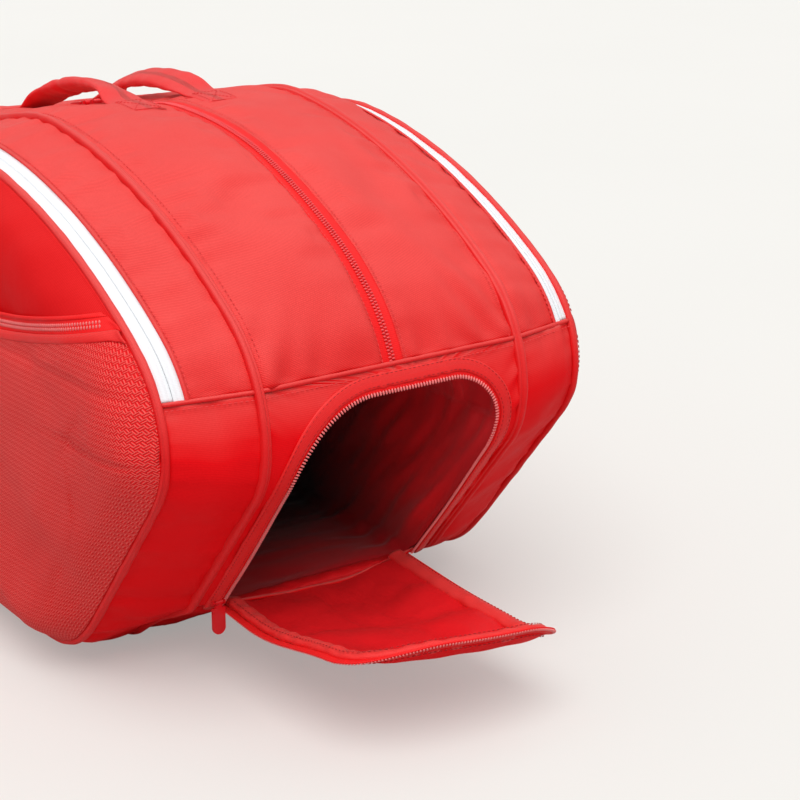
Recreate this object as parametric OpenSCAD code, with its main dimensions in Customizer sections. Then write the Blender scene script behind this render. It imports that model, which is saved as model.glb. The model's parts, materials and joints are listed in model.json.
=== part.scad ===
// Racket tournament bag: three compartments side by side, zipped over the top, with a
// fold-down shoe door in one end. X runs along the bag, Y across it (front is -Y, the
// carrying straps are on +Y) and Z is up. The origin is the centre of the base on the floor.

/* [Outline] */
// Length of the bag between its two noses
bag_length = 760; // [700:5:800]
// Height that the shoulder curve at the shoe end rises towards
bag_height = 333; // [325:1:340]
// Height of the noses above the floor
nose_height = 182; // [175:1:190]
// Radius of the end above the nose
nose_upper_r = 85; // [80:1:90]
// Radius of the end below the nose
nose_lower_r = 55; // [50:1:60]
// Angle at which the upper end curve runs into the shoulder
shoulder_angle = 55; // [52:1:58]
// Radius of the crest, where the shoulder turns over into the sloping top
crest_r = 150; // [140:5:160]
// Slope of the top, down from the crest to the far end
top_slope = 10.3; // [10:0.1:10.8]
// Angle of the undercut below the nose, measured from upright
undercut_angle = 40; // [38:1:42]
// Radius between the undercut and the base
base_corner_r = 90; // [80:1:95]
// Height of the seam across each end
seam_z = 215; // [213:1:218]

/* [Sections across the bag] */
// Width of the middle section between its pipings
middle_width = 185; // [180:1:190]
// Distance of the outer edge of each racket section from the centre
section_edge_y = 146; // [144:0.5:148]
// How far the outline shrinks from the piping to that edge
edge_inset = 14; // [12:1:16]
// Furthest bulge of a side panel from the centre
side_bulge_y = 170; // [168:1:172]
// Thickness of the padded outer panels
panel_t = 4; // [3:0.5:4]
// Width of one piping
piping_w = 5; // [4:0.5:5]

/* [Shoe compartment] */
// Width of the shoe opening in the end panel
opening_width = 158; // [156:1:173]
// Height of the fold line of the shoe door
door_fold_z = 50; // [48:1:52]
// Height of the top edge of the shoe opening
opening_top_z = 206; // [200:1:207]
// Corner radius of the shoe opening
opening_corner_r = 44; // [34:1:44]
// Width of one half of the shoe zip
shoe_zip_w = 5.5; // [5:0.5:6]
// How far the door is folded down from shut
door_open_angle = 54; // [50:1:60]
// Depth of the shoe tunnel's back wall from the bag's centre
tunnel_back_x = 110; // [90:5:140]

/* [Zips] */
// Width of the sunk centre zip
centre_zip_w = 12; // [10:1:14]
// Width of one half of a racket compartment zip
side_zip_w = 6.8; // [6.6:0.2:8]
// Length of a zip pull tab
pull_length = 22; // [18:1:25]
// Height of the pocket zip on the front
pocket_zip_z = 229; // [228:1:250]

/* [Handles and straps] */
// Distance of each carrying handle from the centre line
handle_y = 29; // [27:1:32]
// Half the distance between a handle's two sewn ends
handle_half_span = 74; // [70:1:76]
// Height of a handle's arch above the top
handle_rise = 16; // [14:1:26]
// How far the handles sit towards the shoe end
handle_shift = 35; // [30:1:37]
// Lean of each handle towards the other
handle_lean = 17; // [10:1:20]
// Width of a shoulder strap's pad
strap_w = 62; // [56:1:64]
// Length of a shoulder strap's pad
strap_length = 250; // [230:1:255]
// Height of the lower shoulder strap
strap_low_z = 74; // [70:1:78]
// Height of the upper shoulder strap
strap_high_z = 162; // [158:1:164]

/* [Hidden] */

red = [0.86, 0.13, 0.17];
dark_red = [0.70, 0.08, 0.12];
lining_red = [0.80, 0.06, 0.10];
white = [0.94, 0.95, 0.97];
black = [0.08, 0.08, 0.09];

FRONT = -1;
REAR = 1;
ARC_STEP = 6;      // degrees between points on an arc of the outline
FAR = 500;         // further than any part of the bag
SLICE = 0.01;      // thickness of the slices that a shell is lofted through
GAP = 0.3;         // gap between pieces that are sewn together
OVERLAP = 0.4;     // how far two parts of one solid run into each other

// Outline of the middle section, worked out from tangent arcs
nose_x = bag_length / 2;
upper_centre = [nose_x - nose_upper_r, nose_height];
lower_centre = [nose_x - nose_lower_r, nose_height];
shoulder_start = upper_centre + nose_upper_r * [cos(shoulder_angle), sin(shoulder_angle)];
shoulder_r = (bag_height - shoulder_start[1]) / (1 - sin(shoulder_angle));
shoulder_centre = shoulder_start - shoulder_r * [cos(shoulder_angle), sin(shoulder_angle)];
undercut_top = lower_centre + nose_lower_r * [cos(undercut_angle), -sin(undercut_angle)];
corner_x = undercut_top[0]
    - (base_corner_r + (undercut_top[1] - base_corner_r) * sin(undercut_angle)) / cos(undercut_angle);
corner_centre = [corner_x, base_corner_r];
crest_angle = 84;
crest_start = shoulder_centre + shoulder_r * [cos(crest_angle), sin(crest_angle)];
crest_centre = crest_start - crest_r * [cos(crest_angle), sin(crest_angle)];
slope_normal = [-sin(top_slope), cos(top_slope)];
slope_start = crest_centre + crest_r * slope_normal;
far_nose = [-nose_x, nose_height];
far_upper_r = (slope_start - far_nose) * slope_normal / (1 + slope_normal[0]);
far_upper_centre = far_nose + [far_upper_r, 0];
undercut_bottom = corner_centre + base_corner_r * [cos(undercut_angle), -sin(undercut_angle)];
undercut_dir = [sin(undercut_angle), cos(undercut_angle)];

// Fold line of the shoe door, on the outer surface of the undercut
door_fold_x = undercut_bottom[0] + (door_fold_z - undercut_bottom[1]) * tan(undercut_angle);

middle_y = middle_width / 2;
piping_in_y = middle_y - piping_w / 2;
piping_out_y = middle_y + piping_w / 2;
piping_proud = 2.5;
inset_rate = edge_inset / (section_edge_y - middle_y);
zip_mid_y = section_edge_y - side_zip_w - GAP / 2;
zip_in_y = zip_mid_y - side_zip_w;
outer_piping_w = 4;
side_start_y = section_edge_y + outer_piping_w + 2 * GAP;
lid_gap = 2;                // half the gap along a lid's fold

// Side panels and pocket: where the lofted dome steps, from its edge to its crown
dome_insets = [2, 10, 26, 60];
dome_drops = [0, 11, 4];
pocket_proud = 5;
pocket_clear = 1.5;
pocket_zip_w = 12;

// Zip hardware
slider_length = 13;
slider_w = 9.4;
slider_lift = 0.5;
slider_plate_t = 1.8;
pin_r = 0.8;
pin_z = 4.4;
pin_clearance = 0.05;
post_w = 1.4;
post_gap = 6;
eye_r = 1.9;
eye_w = 5;
pull_t = 1.8;
pull_w = 9;
post_length = 3;
post_rise = 1.4;            // how far a post stands above its pin
centre_zip_sunk = 1.5;
centre_zip_t = 1.5;
side_zip_t = 1.4;
shoe_zip_sunk = 0.4;
shoe_zip_t = 1.6;
centre_slider_gap = 0.5;    // between each centre slider and the middle of the bag
side_slider_x = -70;
side_slider_lift = 0.9;     // keeps the slider clear of the slope beside it
pocket_slider_x = -150;
shoe_slider_shift = 1.9;

// Shoe door
door_foot = 1;              // gap left along the fold line
door_cloth_t = 2.6;
door_t = 5;

// Handles
handle_band = [8, 26];      // thickness and width of the padded webbing
handle_hinge_rise = 3;
handle_r = (handle_half_span * handle_half_span + handle_rise * handle_rise) / (2 * handle_rise);
handle_end_clearance = 6;   // height at which the arch starts above its hinge line
anchor_size = [34, 27, 2.4];

// Shoulder straps, lying on the rear panel and running towards the far end
strap_hinge_x = 175;
strap_clear = 0.5;          // gap between the side panel and what is sewn to it
strap_pad_y = side_bulge_y + 6;
strap_pad_t = 14;
strap_anchor_margin = 24;   // how far the anchor reaches beyond the middle of each strap
strap_anchor_size = [30, 7, strap_high_z - strap_low_z + 2 * strap_anchor_margin];
webbing_w = 25;
webbing_t = 1.8;
webbing_y = side_bulge_y + 3.2;
strap_end_x = strap_hinge_x - strap_length;
buckle_size = [26, 34, 4];
buckle_slot = [5, 26];
hook_x = strap_end_x - 75;
hook_size = [24, 20, 7];
hook_behind = 1.5;          // how far the hook stands behind its webbing
ring_r = 12;
ring_wire_r = 1.6;
ring_x = hook_x - hook_size[0] - 3;
tab_size = [30, 4, 24];

// ---- Outline functions ----

// Points along an arc of a circle, both ends included
function arc_points(centre, radius, from, to) =
    let (steps = ceil(abs(to - from) / ARC_STEP))
    [for (i = [0 : steps])
        let (angle = from + (to - from) * i / steps)
        centre + radius * [cos(angle), sin(angle)]];

function far_side(point) = [-point[0], point[1]];

// The whole closed outline moved inwards by inset: up the shoe end, over the top, down the far end
function outline(inset) = concat(
    arc_points(corner_centre, base_corner_r - inset, -90, -undercut_angle),
    arc_points(lower_centre, nose_lower_r - inset, -undercut_angle, 0),
    arc_points(upper_centre, nose_upper_r - inset, ARC_STEP, shoulder_angle),
    arc_points(shoulder_centre, shoulder_r - inset, shoulder_angle + ARC_STEP, crest_angle),
    arc_points(crest_centre, crest_r - inset, crest_angle + ARC_STEP, 90 + top_slope),
    arc_points(far_upper_centre, far_upper_r - inset, 90 + top_slope, 180),
    arc_points(far_side(lower_centre), nose_lower_r - inset, 180 + ARC_STEP, 180 + undercut_angle),
    arc_points(far_side(corner_centre), base_corner_r - inset, 180 + undercut_angle, 270)
);

// Height of the top at a distance x along the bag, and its slope there, on the crest or behind it
function top_z(x) = x < slope_start[0]
    ? slope_start[1] + (x - slope_start[0]) * tan(top_slope)
    : crest_centre[1] + sqrt(crest_r * crest_r - pow(x - crest_centre[0], 2));
function top_angle(x) = x < slope_start[0] ? top_slope : -asin((x - crest_centre[0]) / crest_r);

// How far the outline has shrunk at a distance y from the centre line
function inset_at(y) = (y - middle_y) * inset_rate;

// ---- Shared shapes ----

// Extrudes a shape drawn in X and Z across the bag, between two values of Y
module across(y0, y1) {
    translate([0, max(y0, y1), 0])
        rotate([90, 0, 0])
            linear_extrude(abs(y1 - y0))
                children();
}

// Extrudes a shape drawn in Y and Z along the bag, between two values of X
module along(x0, x1) {
    translate([x0, 0, 0])
        rotate([90, 0, 90])
            linear_extrude(x1 - x0)
                children();
}

// The band between two insets of the outline
module band(outer, inner) {
    difference() {
        polygon(outline(outer));
        polygon(outline(inner));
    }
}

// Everything in the XZ drawing plane between two heights
module heights(z0, z1) {
    translate([-FAR, z0])
        square([2 * FAR, z1 - z0]);
}

// Keeps the part of its children between two heights
module keep_heights(z0, z1) {
    intersection() {
        children();
        translate([-FAR, -FAR, z0])
            cube([2 * FAR, 2 * FAR, z1 - z0]);
    }
}

// A thin slice of the outline at one distance from the centre line
module slice(side, y, inset) {
    across(side * y, side * (y + SLICE))
        polygon(outline(inset));
}

// A shell that follows the tapering outline between two distances from the centre line
module tapered_shell(side, y0, y1, outer, inner) {
    overlap = 1;
    difference() {
        hull() {
            slice(side, y0, inset_at(y0) + outer);
            slice(side, y1 - SLICE, inset_at(y1) + outer);
        }
        hull() {
            slice(side, y0 - overlap, inset_at(y0 - overlap) + inner);
            slice(side, y1 + overlap, inset_at(y1 + overlap) + inner);
        }
    }
}

// The solid under a bulging side panel, moved inwards by inset
module side_dome(side, inset, start_y = side_start_y) {
    hull() {
        slice(side, start_y, edge_inset + dome_insets[0] + inset);
        slice(side, side_bulge_y - dome_drops[1] - inset / 2, edge_inset + dome_insets[1] + inset);
        slice(side, side_bulge_y - dome_drops[2] - inset, edge_inset + dome_insets[2] + inset);
        slice(side, side_bulge_y - inset, edge_inset + dome_insets[3] + inset);
    }
}

// The skin of a side panel between two insets
module side_skin(side, outer, inner) {
    difference() {
        side_dome(side, outer);
        side_dome(side, inner, side_start_y - 1);
    }
}

// The U of the shoe opening, drawn in Y and Z, moved inwards by inset
module opening_u(inset) {
    half = opening_width / 2 - inset;
    top = opening_top_z - inset;
    r = opening_corner_r - inset;
    translate([-half, door_fold_z])
        square([2 * half, top - r - door_fold_z]);
    translate([-half + r, door_fold_z])
        square([2 * (half - r), top - door_fold_z]);
    for (side = [-1, 1])
        translate([side * (half - r), top - r])
            circle(r, $fn = 64);
}

// Moves its children onto the top of the bag at x and y, raised above it by rise
module on_top(x, y, rise) {
    angle = top_angle(x);
    translate([x - rise * sin(angle), y, top_z(x) + rise * cos(angle)])
        rotate([0, -angle, 0])
            children();
}

// Moves its children from the shut position of the shoe door to the open one
module folded_down() {
    translate([door_fold_x, 0, door_fold_z])
        rotate([0, door_open_angle, 0])
            translate([-door_fold_x, 0, -door_fold_z])
                children();
}

// ---- Outer panels ----

module top_panel(side) {
    color(red)
        across(side * (centre_zip_w / 2 + GAP), side * (piping_in_y - GAP))
            intersection() {
                band(0, panel_t);
                heights(seam_z + GAP, FAR);
            }
}

module end_band(direction) {
    intersection() {
        band(0, panel_t);
        heights(GAP, seam_z - GAP);
        translate([direction > 0 ? corner_x : -corner_x - FAR, 0])
            square([FAR, FAR]);
    }
}

module shoe_end_panel() {
    color(red)
        difference() {
            across(-piping_in_y + GAP, piping_in_y - GAP)
                end_band(1);
            along(corner_x, FAR)
                opening_u(0);
        }
}

module far_end_panel() {
    color(red)
        across(-piping_in_y + GAP, piping_in_y - GAP)
            end_band(-1);
}

module base_panel() {
    color(red)
        across(-piping_in_y + GAP, piping_in_y - GAP)
            translate([-corner_x + GAP, 0])
                square([2 * (corner_x - GAP), panel_t]);
}

module upper_gusset(side) {
    color(red)
        keep_heights(seam_z + GAP, FAR)
            tapered_shell(side, piping_out_y + GAP, zip_in_y - GAP, 0, panel_t);
}

module lower_gusset(side) {
    color(red)
        keep_heights(0, seam_z - GAP)
            tapered_shell(side, piping_out_y + GAP, section_edge_y, 0, panel_t);
}

module inner_piping(side) {
    color(red)
        across(side * piping_in_y, side * piping_out_y)
            intersection() {
                band(-piping_proud, panel_t);
                heights(0, FAR);
            }
}

module outer_piping(side) {
    start = section_edge_y + GAP;
    color(dark_red)
        across(side * start, side * (start + outer_piping_w))
            intersection() {
                band(edge_inset - 1, edge_inset + panel_t + 1);
                heights(0, seam_z - lid_gap);
            }
}

module side_panel(side) {
    color(dark_red)
        keep_heights(0, seam_z - lid_gap)
            side_skin(side, 0, panel_t);
}

module lid(side) {
    color(dark_red)
        keep_heights(seam_z + lid_gap, FAR)
            side_skin(side, 0, panel_t);
}

// ---- Pocket on the front ----

// The mesh of the front pocket, lying proud of the side panel
module pocket_skin(z0, z1) {
    intersection() {
        side_skin(FRONT, -pocket_proud, -pocket_clear);
        across(-FAR, 0)
            intersection() {
                polygon(outline(edge_inset + dome_insets[1]));
                heights(z0, z1);
            }
    }
}

module front_mesh_pocket() {
    color(dark_red)
        pocket_skin(0, seam_z - lid_gap);
}

module front_pocket_top() {
    color(dark_red)
        pocket_skin(seam_z + lid_gap, pocket_zip_z - pocket_zip_w / 2 - 1);
}

module front_pocket_zip() {
    color(red)
        pocket_skin(pocket_zip_z - pocket_zip_w / 2, pocket_zip_z + pocket_zip_w / 2);
}

// ---- Inside ----

module divider(side) {
    color(black)
        across(side * piping_in_y, side * piping_out_y)
            polygon(outline(panel_t + GAP));
}

module base_board() {
    board_t = 3;
    end_clear = 6;
    side_clear = 4;
    color(black)
        across(-piping_in_y + side_clear, piping_in_y - side_clear)
            translate([-corner_x + end_clear, panel_t + GAP])
                square([2 * (corner_x - end_clear), board_t]);
}

module shoe_tunnel() {
    wall = 2;
    half = opening_width / 2 - 1;
    floor_z = door_fold_z - 8;
    roof_z = opening_top_z + 2;
    clear = panel_t + 2;
    color(lining_red)
        difference() {
            across(-half, half)
                intersection() {
                    polygon(outline(clear));
                    translate([tunnel_back_x, floor_z])
                        square([FAR, roof_z - floor_z]);
                }
            across(-half + wall, half - wall)
                translate([tunnel_back_x + wall, floor_z + wall])
                    square([FAR, roof_z - floor_z - 2 * wall]);
        }
}

// ---- Shoe door ----

module shoe_door() {
    color(red)
        folded_down()
            intersection() {
                across(-opening_width, opening_width)
                    intersection() {
                        band(0, door_cloth_t);
                        heights(door_fold_z + door_foot, seam_z);
                    }
                along(corner_x, FAR)
                    opening_u(2 * shoe_zip_w + 3 * GAP);
            }
}

module shoe_door_lining() {
    color(lining_red)
        folded_down()
            intersection() {
                across(-opening_width, opening_width)
                    intersection() {
                        band(door_cloth_t + GAP, door_t);
                        heights(door_fold_z + 2 * door_foot, seam_z);
                    }
                along(corner_x, FAR)
                    opening_u(2 * shoe_zip_w + 5 * GAP);
            }
}

// One half of the shoe zip, starting a distance inside the opening's edge
module shoe_zip_strip(inset) {
    intersection() {
        across(-opening_width, opening_width)
            intersection() {
                band(shoe_zip_sunk, shoe_zip_sunk + shoe_zip_t);
                heights(door_fold_z + door_foot, seam_z);
            }
        along(corner_x, FAR)
            difference() {
                opening_u(inset);
                opening_u(inset + shoe_zip_w);
            }
    }
}

module shoe_zip_bag_half() {
    color(red)
        shoe_zip_strip(GAP);
}

module shoe_zip_door_half() {
    color(red)
        folded_down()
            shoe_zip_strip(shoe_zip_w + 2 * GAP);
}

// ---- Zips over the top ----

module centre_zip() {
    color(red)
        across(-centre_zip_w / 2, centre_zip_w / 2)
            intersection() {
                band(centre_zip_sunk, centre_zip_sunk + centre_zip_t);
                heights(seam_z + GAP, FAR);
            }
}

module zip_inner_half(side) {
    color(white)
        keep_heights(seam_z + GAP, FAR)
            tapered_shell(side, zip_in_y, zip_mid_y, 0, side_zip_t);
}

module zip_outer_half(side) {
    color(white)
        keep_heights(seam_z + lid_gap, FAR)
            tapered_shell(side, zip_mid_y + GAP, section_edge_y, 0, side_zip_t);
}

// A zip slider on a tape whose surface is Z = 0, running along X, with a pin across it
module slider() {
    plate_top = slider_lift + slider_plate_t;
    nose_r = slider_w / 2;
    color(red) {
        translate([-slider_length / 2, -slider_w / 2, slider_lift])
            cube([slider_length - nose_r, slider_w, slider_plate_t]);
        translate([slider_length / 2 - nose_r, 0, slider_lift])
            cylinder(h = slider_plate_t, r = nose_r, $fn = 48);
        for (side = [-1, 1])
            translate([-post_length / 2, side * (post_gap + post_w) / 2 - post_w / 2, plate_top - OVERLAP])
                cube([post_length, post_w, pin_z + post_rise + OVERLAP - plate_top]);
        translate([0, post_gap / 2 + post_w / 2, pin_z])
            rotate([90, 0, 0])
                cylinder(h = post_gap + post_w, r = pin_r, $fn = 32);
    }
}

// A pull tab on a slider's pin, swung up by angle from lying along +X
module pull(angle) {
    neck = 4;
    blade = pull_length - pull_w / 2 - OVERLAP;
    color(red)
        translate([0, 0, pin_z])
            rotate([0, -angle, 0])
                difference() {
                    union() {
                        translate([0, eye_w / 2, 0])
                            rotate([90, 0, 0])
                                cylinder(h = eye_w, r = eye_r, $fn = 32);
                        translate([0, -eye_w / 2, -pull_t / 2])
                            cube([neck, eye_w, pull_t]);
                        translate([neck - OVERLAP, -pull_w / 2, -pull_t / 2])
                            cube([blade - neck + OVERLAP, pull_w, pull_t]);
                        translate([blade, 0, -pull_t / 2])
                            cylinder(h = pull_t, r = pull_w / 2, $fn = 48);
                    }
                    translate([0, eye_w, 0])
                        rotate([90, 0, 0])
                            cylinder(h = 2 * eye_w, r = pin_r + pin_clearance, $fn = 32);
                }
}

// The two sliders of the centre zip meet in the middle, and their pulls lie outwards
module on_centre_zip(direction) {
    on_top(direction * (slider_length / 2 + centre_slider_gap), 0, -centre_zip_sunk)
        rotate([0, 0, direction > 0 ? 0 : 180])
            children();
}

module on_side_zip(side) {
    on_top(side_slider_x, side * (zip_mid_y + GAP / 2), side_slider_lift - inset_at(zip_mid_y))
        children();
}

module on_pocket_zip() {
    translate([pocket_slider_x, -side_bulge_y - pocket_proud, pocket_zip_z])
        rotate([90, 0, 0])
            children();
}

// The shoe zip's slider stands at the foot of the front leg of the opening
module on_shoe_zip() {
    rise = slider_length / 2 + 2 * door_foot;
    translate([
        door_fold_x + rise * undercut_dir[0],
        -opening_width / 2 + shoe_zip_w / 2 - shoe_slider_shift,
        door_fold_z + rise * undercut_dir[1]
    ])
        rotate([0, undercut_angle - 90, 0])
            rotate([180, 0, 0])
                children();
}

// ---- Handles ----

module handle(side) {
    arc_half = asin(handle_half_span / handle_r);
    trim = acos((handle_r - handle_rise + handle_end_clearance) / handle_r);
    t = handle_band[0];
    w = handle_band[1];
    color(red)
        on_top(handle_shift, side * handle_y, handle_hinge_rise)
            rotate([side * handle_lean, 0, 0])
                translate([0, 0, handle_rise - handle_r])
                    rotate([90, 0, 0])
                        rotate([0, 0, 90 - min(trim, arc_half)])
                            rotate_extrude(angle = 2 * min(trim, arc_half), $fn = 96) {
                                translate([handle_r - t / 2, -w / 2 + t / 2])
                                    square([t, w - t]);
                                for (end = [-1, 1])
                                    translate([handle_r, end * (w - t) / 2])
                                        circle(t / 2, $fn = 32);
                            }
}

module handle_anchors() {
    color(red)
        for (side = [-1, 1], end = [-1, 1])
            on_top(handle_shift + end * (handle_half_span + anchor_size[0] / 2), side * handle_y, GAP)
                translate([-anchor_size[0] / 2, -anchor_size[1] / 2, 0])
                    cube(anchor_size);
}

// ---- Shoulder straps on the rear ----

module strap_top_anchor() {
    color(dark_red)
        translate([
            strap_hinge_x + strap_pad_t / 2 + 1,
            side_bulge_y + strap_clear,
            strap_low_z - strap_anchor_margin
        ])
            cube(strap_anchor_size);
}

module strap_pad(z) {
    r = strap_w / 2;
    color(dark_red)
        across(strap_pad_y, strap_pad_y + strap_pad_t) {
            translate([strap_end_x + r, z - r])
                square([strap_length - r - 1, strap_w]);
            translate([strap_end_x + r, z])
                circle(r, $fn = 64);
        }
}

module strap_buckle(z) {
    bar = 4;
    color(black)
        across(strap_pad_y + 1, strap_pad_y + 1 + buckle_size[2])
            difference() {
                translate([strap_end_x - buckle_size[0] - GAP, z - buckle_size[1] / 2])
                    square([buckle_size[0], buckle_size[1]]);
                for (slot = [0, 1])
                    translate([
                        strap_end_x - GAP - bar - buckle_slot[0] - slot * (buckle_slot[0] + bar),
                        z - buckle_slot[1] / 2
                    ])
                        square(buckle_slot);
            }
}

module strap_webbing(z) {
    tail = 30;
    color(dark_red)
        across(webbing_y, webbing_y + webbing_t)
            translate([hook_x + GAP, z - webbing_w / 2])
                square([strap_end_x + tail - hook_x, webbing_w]);
    color(black)
        across(webbing_y - hook_behind, webbing_y - hook_behind + hook_size[2]) {
            translate([hook_x - hook_size[0] / 2, z - hook_size[1] / 2])
                square([hook_size[0] / 2 + 2, hook_size[1]]);
            translate([hook_x - hook_size[0] / 2, z])
                circle(hook_size[1] / 2, $fn = 48);
        }
}

module strap_d_rings() {
    color(black)
        for (z = [strap_low_z, strap_high_z])
            translate([ring_x - ring_r, webbing_y, z])
                rotate([90, 0, 0]) {
                    rotate([0, 0, -90])
                        rotate_extrude(angle = 180, $fn = 64)
                            translate([ring_r - ring_wire_r, 0])
                                circle(ring_wire_r, $fn = 24);
                    translate([0, -ring_r + ring_wire_r, 0])
                        rotate([-90, 0, 0])
                            cylinder(h = 2 * (ring_r - ring_wire_r), r = ring_wire_r, $fn = 24);
                }
}

module strap_lower_tabs() {
    color(dark_red)
        for (z = [strap_low_z, strap_high_z])
            translate([
                ring_x - ring_r - ring_wire_r - strap_clear - tab_size[0],
                side_bulge_y + strap_clear,
                z - tab_size[2] / 2
            ])
                cube(tab_size);
}

// ---- The bag ----

top_panel(FRONT);  // front_top_panel
top_panel(REAR);  // rear_top_panel
shoe_end_panel();
far_end_panel();
base_panel();
upper_gusset(FRONT);  // front_upper_gusset
upper_gusset(REAR);  // rear_upper_gusset
lower_gusset(FRONT);  // front_lower_gusset
lower_gusset(REAR);  // rear_lower_gusset
inner_piping(FRONT);  // front_inner_piping
inner_piping(REAR);  // rear_inner_piping
outer_piping(FRONT);  // front_outer_piping
outer_piping(REAR);  // rear_outer_piping
side_panel(FRONT);  // front_side_panel
side_panel(REAR);  // rear_side_panel
front_mesh_pocket();
divider(FRONT);  // front_divider
divider(REAR);  // rear_divider
base_board();
shoe_tunnel();
centre_zip();
zip_inner_half(FRONT);  // front_zip_inner_half
zip_inner_half(REAR);  // rear_zip_inner_half
shoe_zip_bag_half();
handle_anchors();
strap_top_anchor();
strap_lower_tabs();
strap_d_rings();
lid(FRONT);  // front_lid
zip_outer_half(FRONT);  // front_zip_outer_half
front_pocket_top();
front_pocket_zip();
lid(REAR);  // rear_lid
zip_outer_half(REAR);  // rear_zip_outer_half
shoe_door();
shoe_door_lining();
shoe_zip_door_half();
on_shoe_zip() slider();  // shoe_zip_slider
on_shoe_zip() pull(180 - undercut_angle);  // shoe_zip_pull
on_centre_zip(1) slider();  // centre_zip_slider_a
on_centre_zip(1) pull(0);  // centre_zip_pull_a
on_centre_zip(-1) slider();  // centre_zip_slider_b
on_centre_zip(-1) pull(0);  // centre_zip_pull_b
on_side_zip(FRONT) slider();  // front_zip_slider
on_side_zip(FRONT) pull(0);  // front_zip_pull
on_side_zip(REAR) slider();  // rear_zip_slider
on_side_zip(REAR) pull(0);  // rear_zip_pull
on_pocket_zip() slider();  // pocket_zip_slider
on_pocket_zip() pull(0);  // pocket_zip_pull
handle(FRONT);  // front_handle
handle(REAR);  // rear_handle
strap_pad(strap_low_z);  // lower_strap_pad
strap_buckle(strap_low_z);  // lower_strap_buckle
strap_webbing(strap_low_z);  // lower_strap_webbing
strap_pad(strap_high_z);  // upper_strap_pad
strap_buckle(strap_high_z);  // upper_strap_buckle
strap_webbing(strap_high_z);  // upper_strap_webbing
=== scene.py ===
"""Racket tournament bag: cloth, zips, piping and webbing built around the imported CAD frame.

Lengths are metres in the frame's own axes: X along the bag, Y across it, Z up.
MM turns a size in millimetres into metres.
"""

import json
import math

import bmesh
import bpy
import numpy as np
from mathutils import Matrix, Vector


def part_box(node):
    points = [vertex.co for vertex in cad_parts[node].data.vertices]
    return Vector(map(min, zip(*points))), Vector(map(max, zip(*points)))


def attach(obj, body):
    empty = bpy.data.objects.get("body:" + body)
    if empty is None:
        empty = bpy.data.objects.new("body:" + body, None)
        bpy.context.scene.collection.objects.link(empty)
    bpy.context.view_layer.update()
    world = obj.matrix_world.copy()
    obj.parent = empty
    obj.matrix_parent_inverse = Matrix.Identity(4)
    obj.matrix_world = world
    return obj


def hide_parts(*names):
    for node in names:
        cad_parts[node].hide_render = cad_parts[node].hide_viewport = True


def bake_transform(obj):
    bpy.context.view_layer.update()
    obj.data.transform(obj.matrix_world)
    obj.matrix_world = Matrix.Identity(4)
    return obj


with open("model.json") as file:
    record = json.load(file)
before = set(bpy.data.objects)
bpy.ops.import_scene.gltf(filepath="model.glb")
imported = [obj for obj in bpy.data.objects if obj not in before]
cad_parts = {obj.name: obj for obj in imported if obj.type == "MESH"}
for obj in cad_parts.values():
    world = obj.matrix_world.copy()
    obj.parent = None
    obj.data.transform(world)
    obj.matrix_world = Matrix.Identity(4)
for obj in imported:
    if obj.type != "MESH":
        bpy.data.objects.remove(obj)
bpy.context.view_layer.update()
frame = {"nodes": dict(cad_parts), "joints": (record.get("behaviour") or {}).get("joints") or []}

MM = 0.001
FRONT, REAR = -1, 1


# ---------------------------------------------------------------- frame sizes

def low(node):
    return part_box(node)[0]


def high(node):
    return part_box(node)[1]


JOINTS = {joint["name"]: joint for joint in frame["joints"]}

NOSE_X = high("shoe_end_panel").x
SEAM_Z = (high("shoe_end_panel").z + low("front_top_panel").z) / 2
MIDDLE_Y = (low("rear_inner_piping").y + high("rear_inner_piping").y) / 2
PIPING_HALF = (high("rear_inner_piping").y - low("rear_inner_piping").y) / 2
EDGE_Y = high("rear_lower_gusset").y
ZIP_Y = low("rear_zip_inner_half").y
ZIP_MID_Y = high("rear_zip_inner_half").y
SIDE_Y = low("rear_side_panel").y
BULGE_Y = high("rear_side_panel").y
CENTRE_ZIP_HALF = high("centre_zip").y
FOLD_X, _, FOLD_Z = JOINTS["shoe_door_fold"]["pos_m"]
HOLE_HALF = high("shoe_zip_bag_half").y + 0.3 * MM
HOLE_TOP = high("shoe_zip_bag_half").z + 0.3 * MM
LID_Z = JOINTS["front_lid_fold"]["pos_m"][2]
DOOR_OPEN = math.radians(JOINTS["shoe_door_fold"]["range_deg"][1])
SLOPE_AXIS = JOINTS["front_handle_swing"]["axis"]
TOP_SLOPE = math.atan2(SLOPE_AXIS[2], SLOPE_AXIS[0])

# Radii and angles of the outline's tangent arcs, as in the CAD
NOSE_Z = 182 * MM
NOSE_UPPER_R = 85 * MM
NOSE_LOWER_R = 55 * MM
CORNER_R = 90 * MM
SHOULDER_TOP = 333 * MM
SHOULDER_ANGLE = math.radians(55)
CREST_R = 150 * MM
CREST_ANGLE = math.radians(84)
UNDERCUT_ANGLE = math.radians(40)
EDGE_INSET = 14 * MM

# Front and rear corner radii of the shoe opening and of its door, and the width of each half of their zip
HOLE_R = (62 * MM, 40 * MM)
DOOR_R = (66 * MM, 44 * MM)
SHOE_ZIP_W = 5.5 * MM

UP = (0.0, 0.0, 1.0)
REARWARD = (0.0, 1.0, 0.0)
FRONTWARD = (0.0, -1.0, 0.0)


# ---------------------------------------------------------------- helpers

def points_of(*parts):
    """One array of points from their coordinates, which may be arrays, rows, columns or single numbers."""
    return np.stack(np.broadcast_arrays(*parts), -1)


def repeated(vector, count):
    """One row for each of count points, all the same vector."""
    return np.tile(vector, (count, 1))


def unit(vectors):
    """Vectors scaled to length 1."""
    return vectors / np.linalg.norm(vectors, axis=-1, keepdims=True)


def path_normals(points_out, points_in):
    return unit(points_out - points_in)


def run_along(path):
    """Distance along a path at each of its points."""
    return np.concatenate([[0], np.cumsum(np.linalg.norm(np.diff(path, axis=0), axis=1))])


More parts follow.
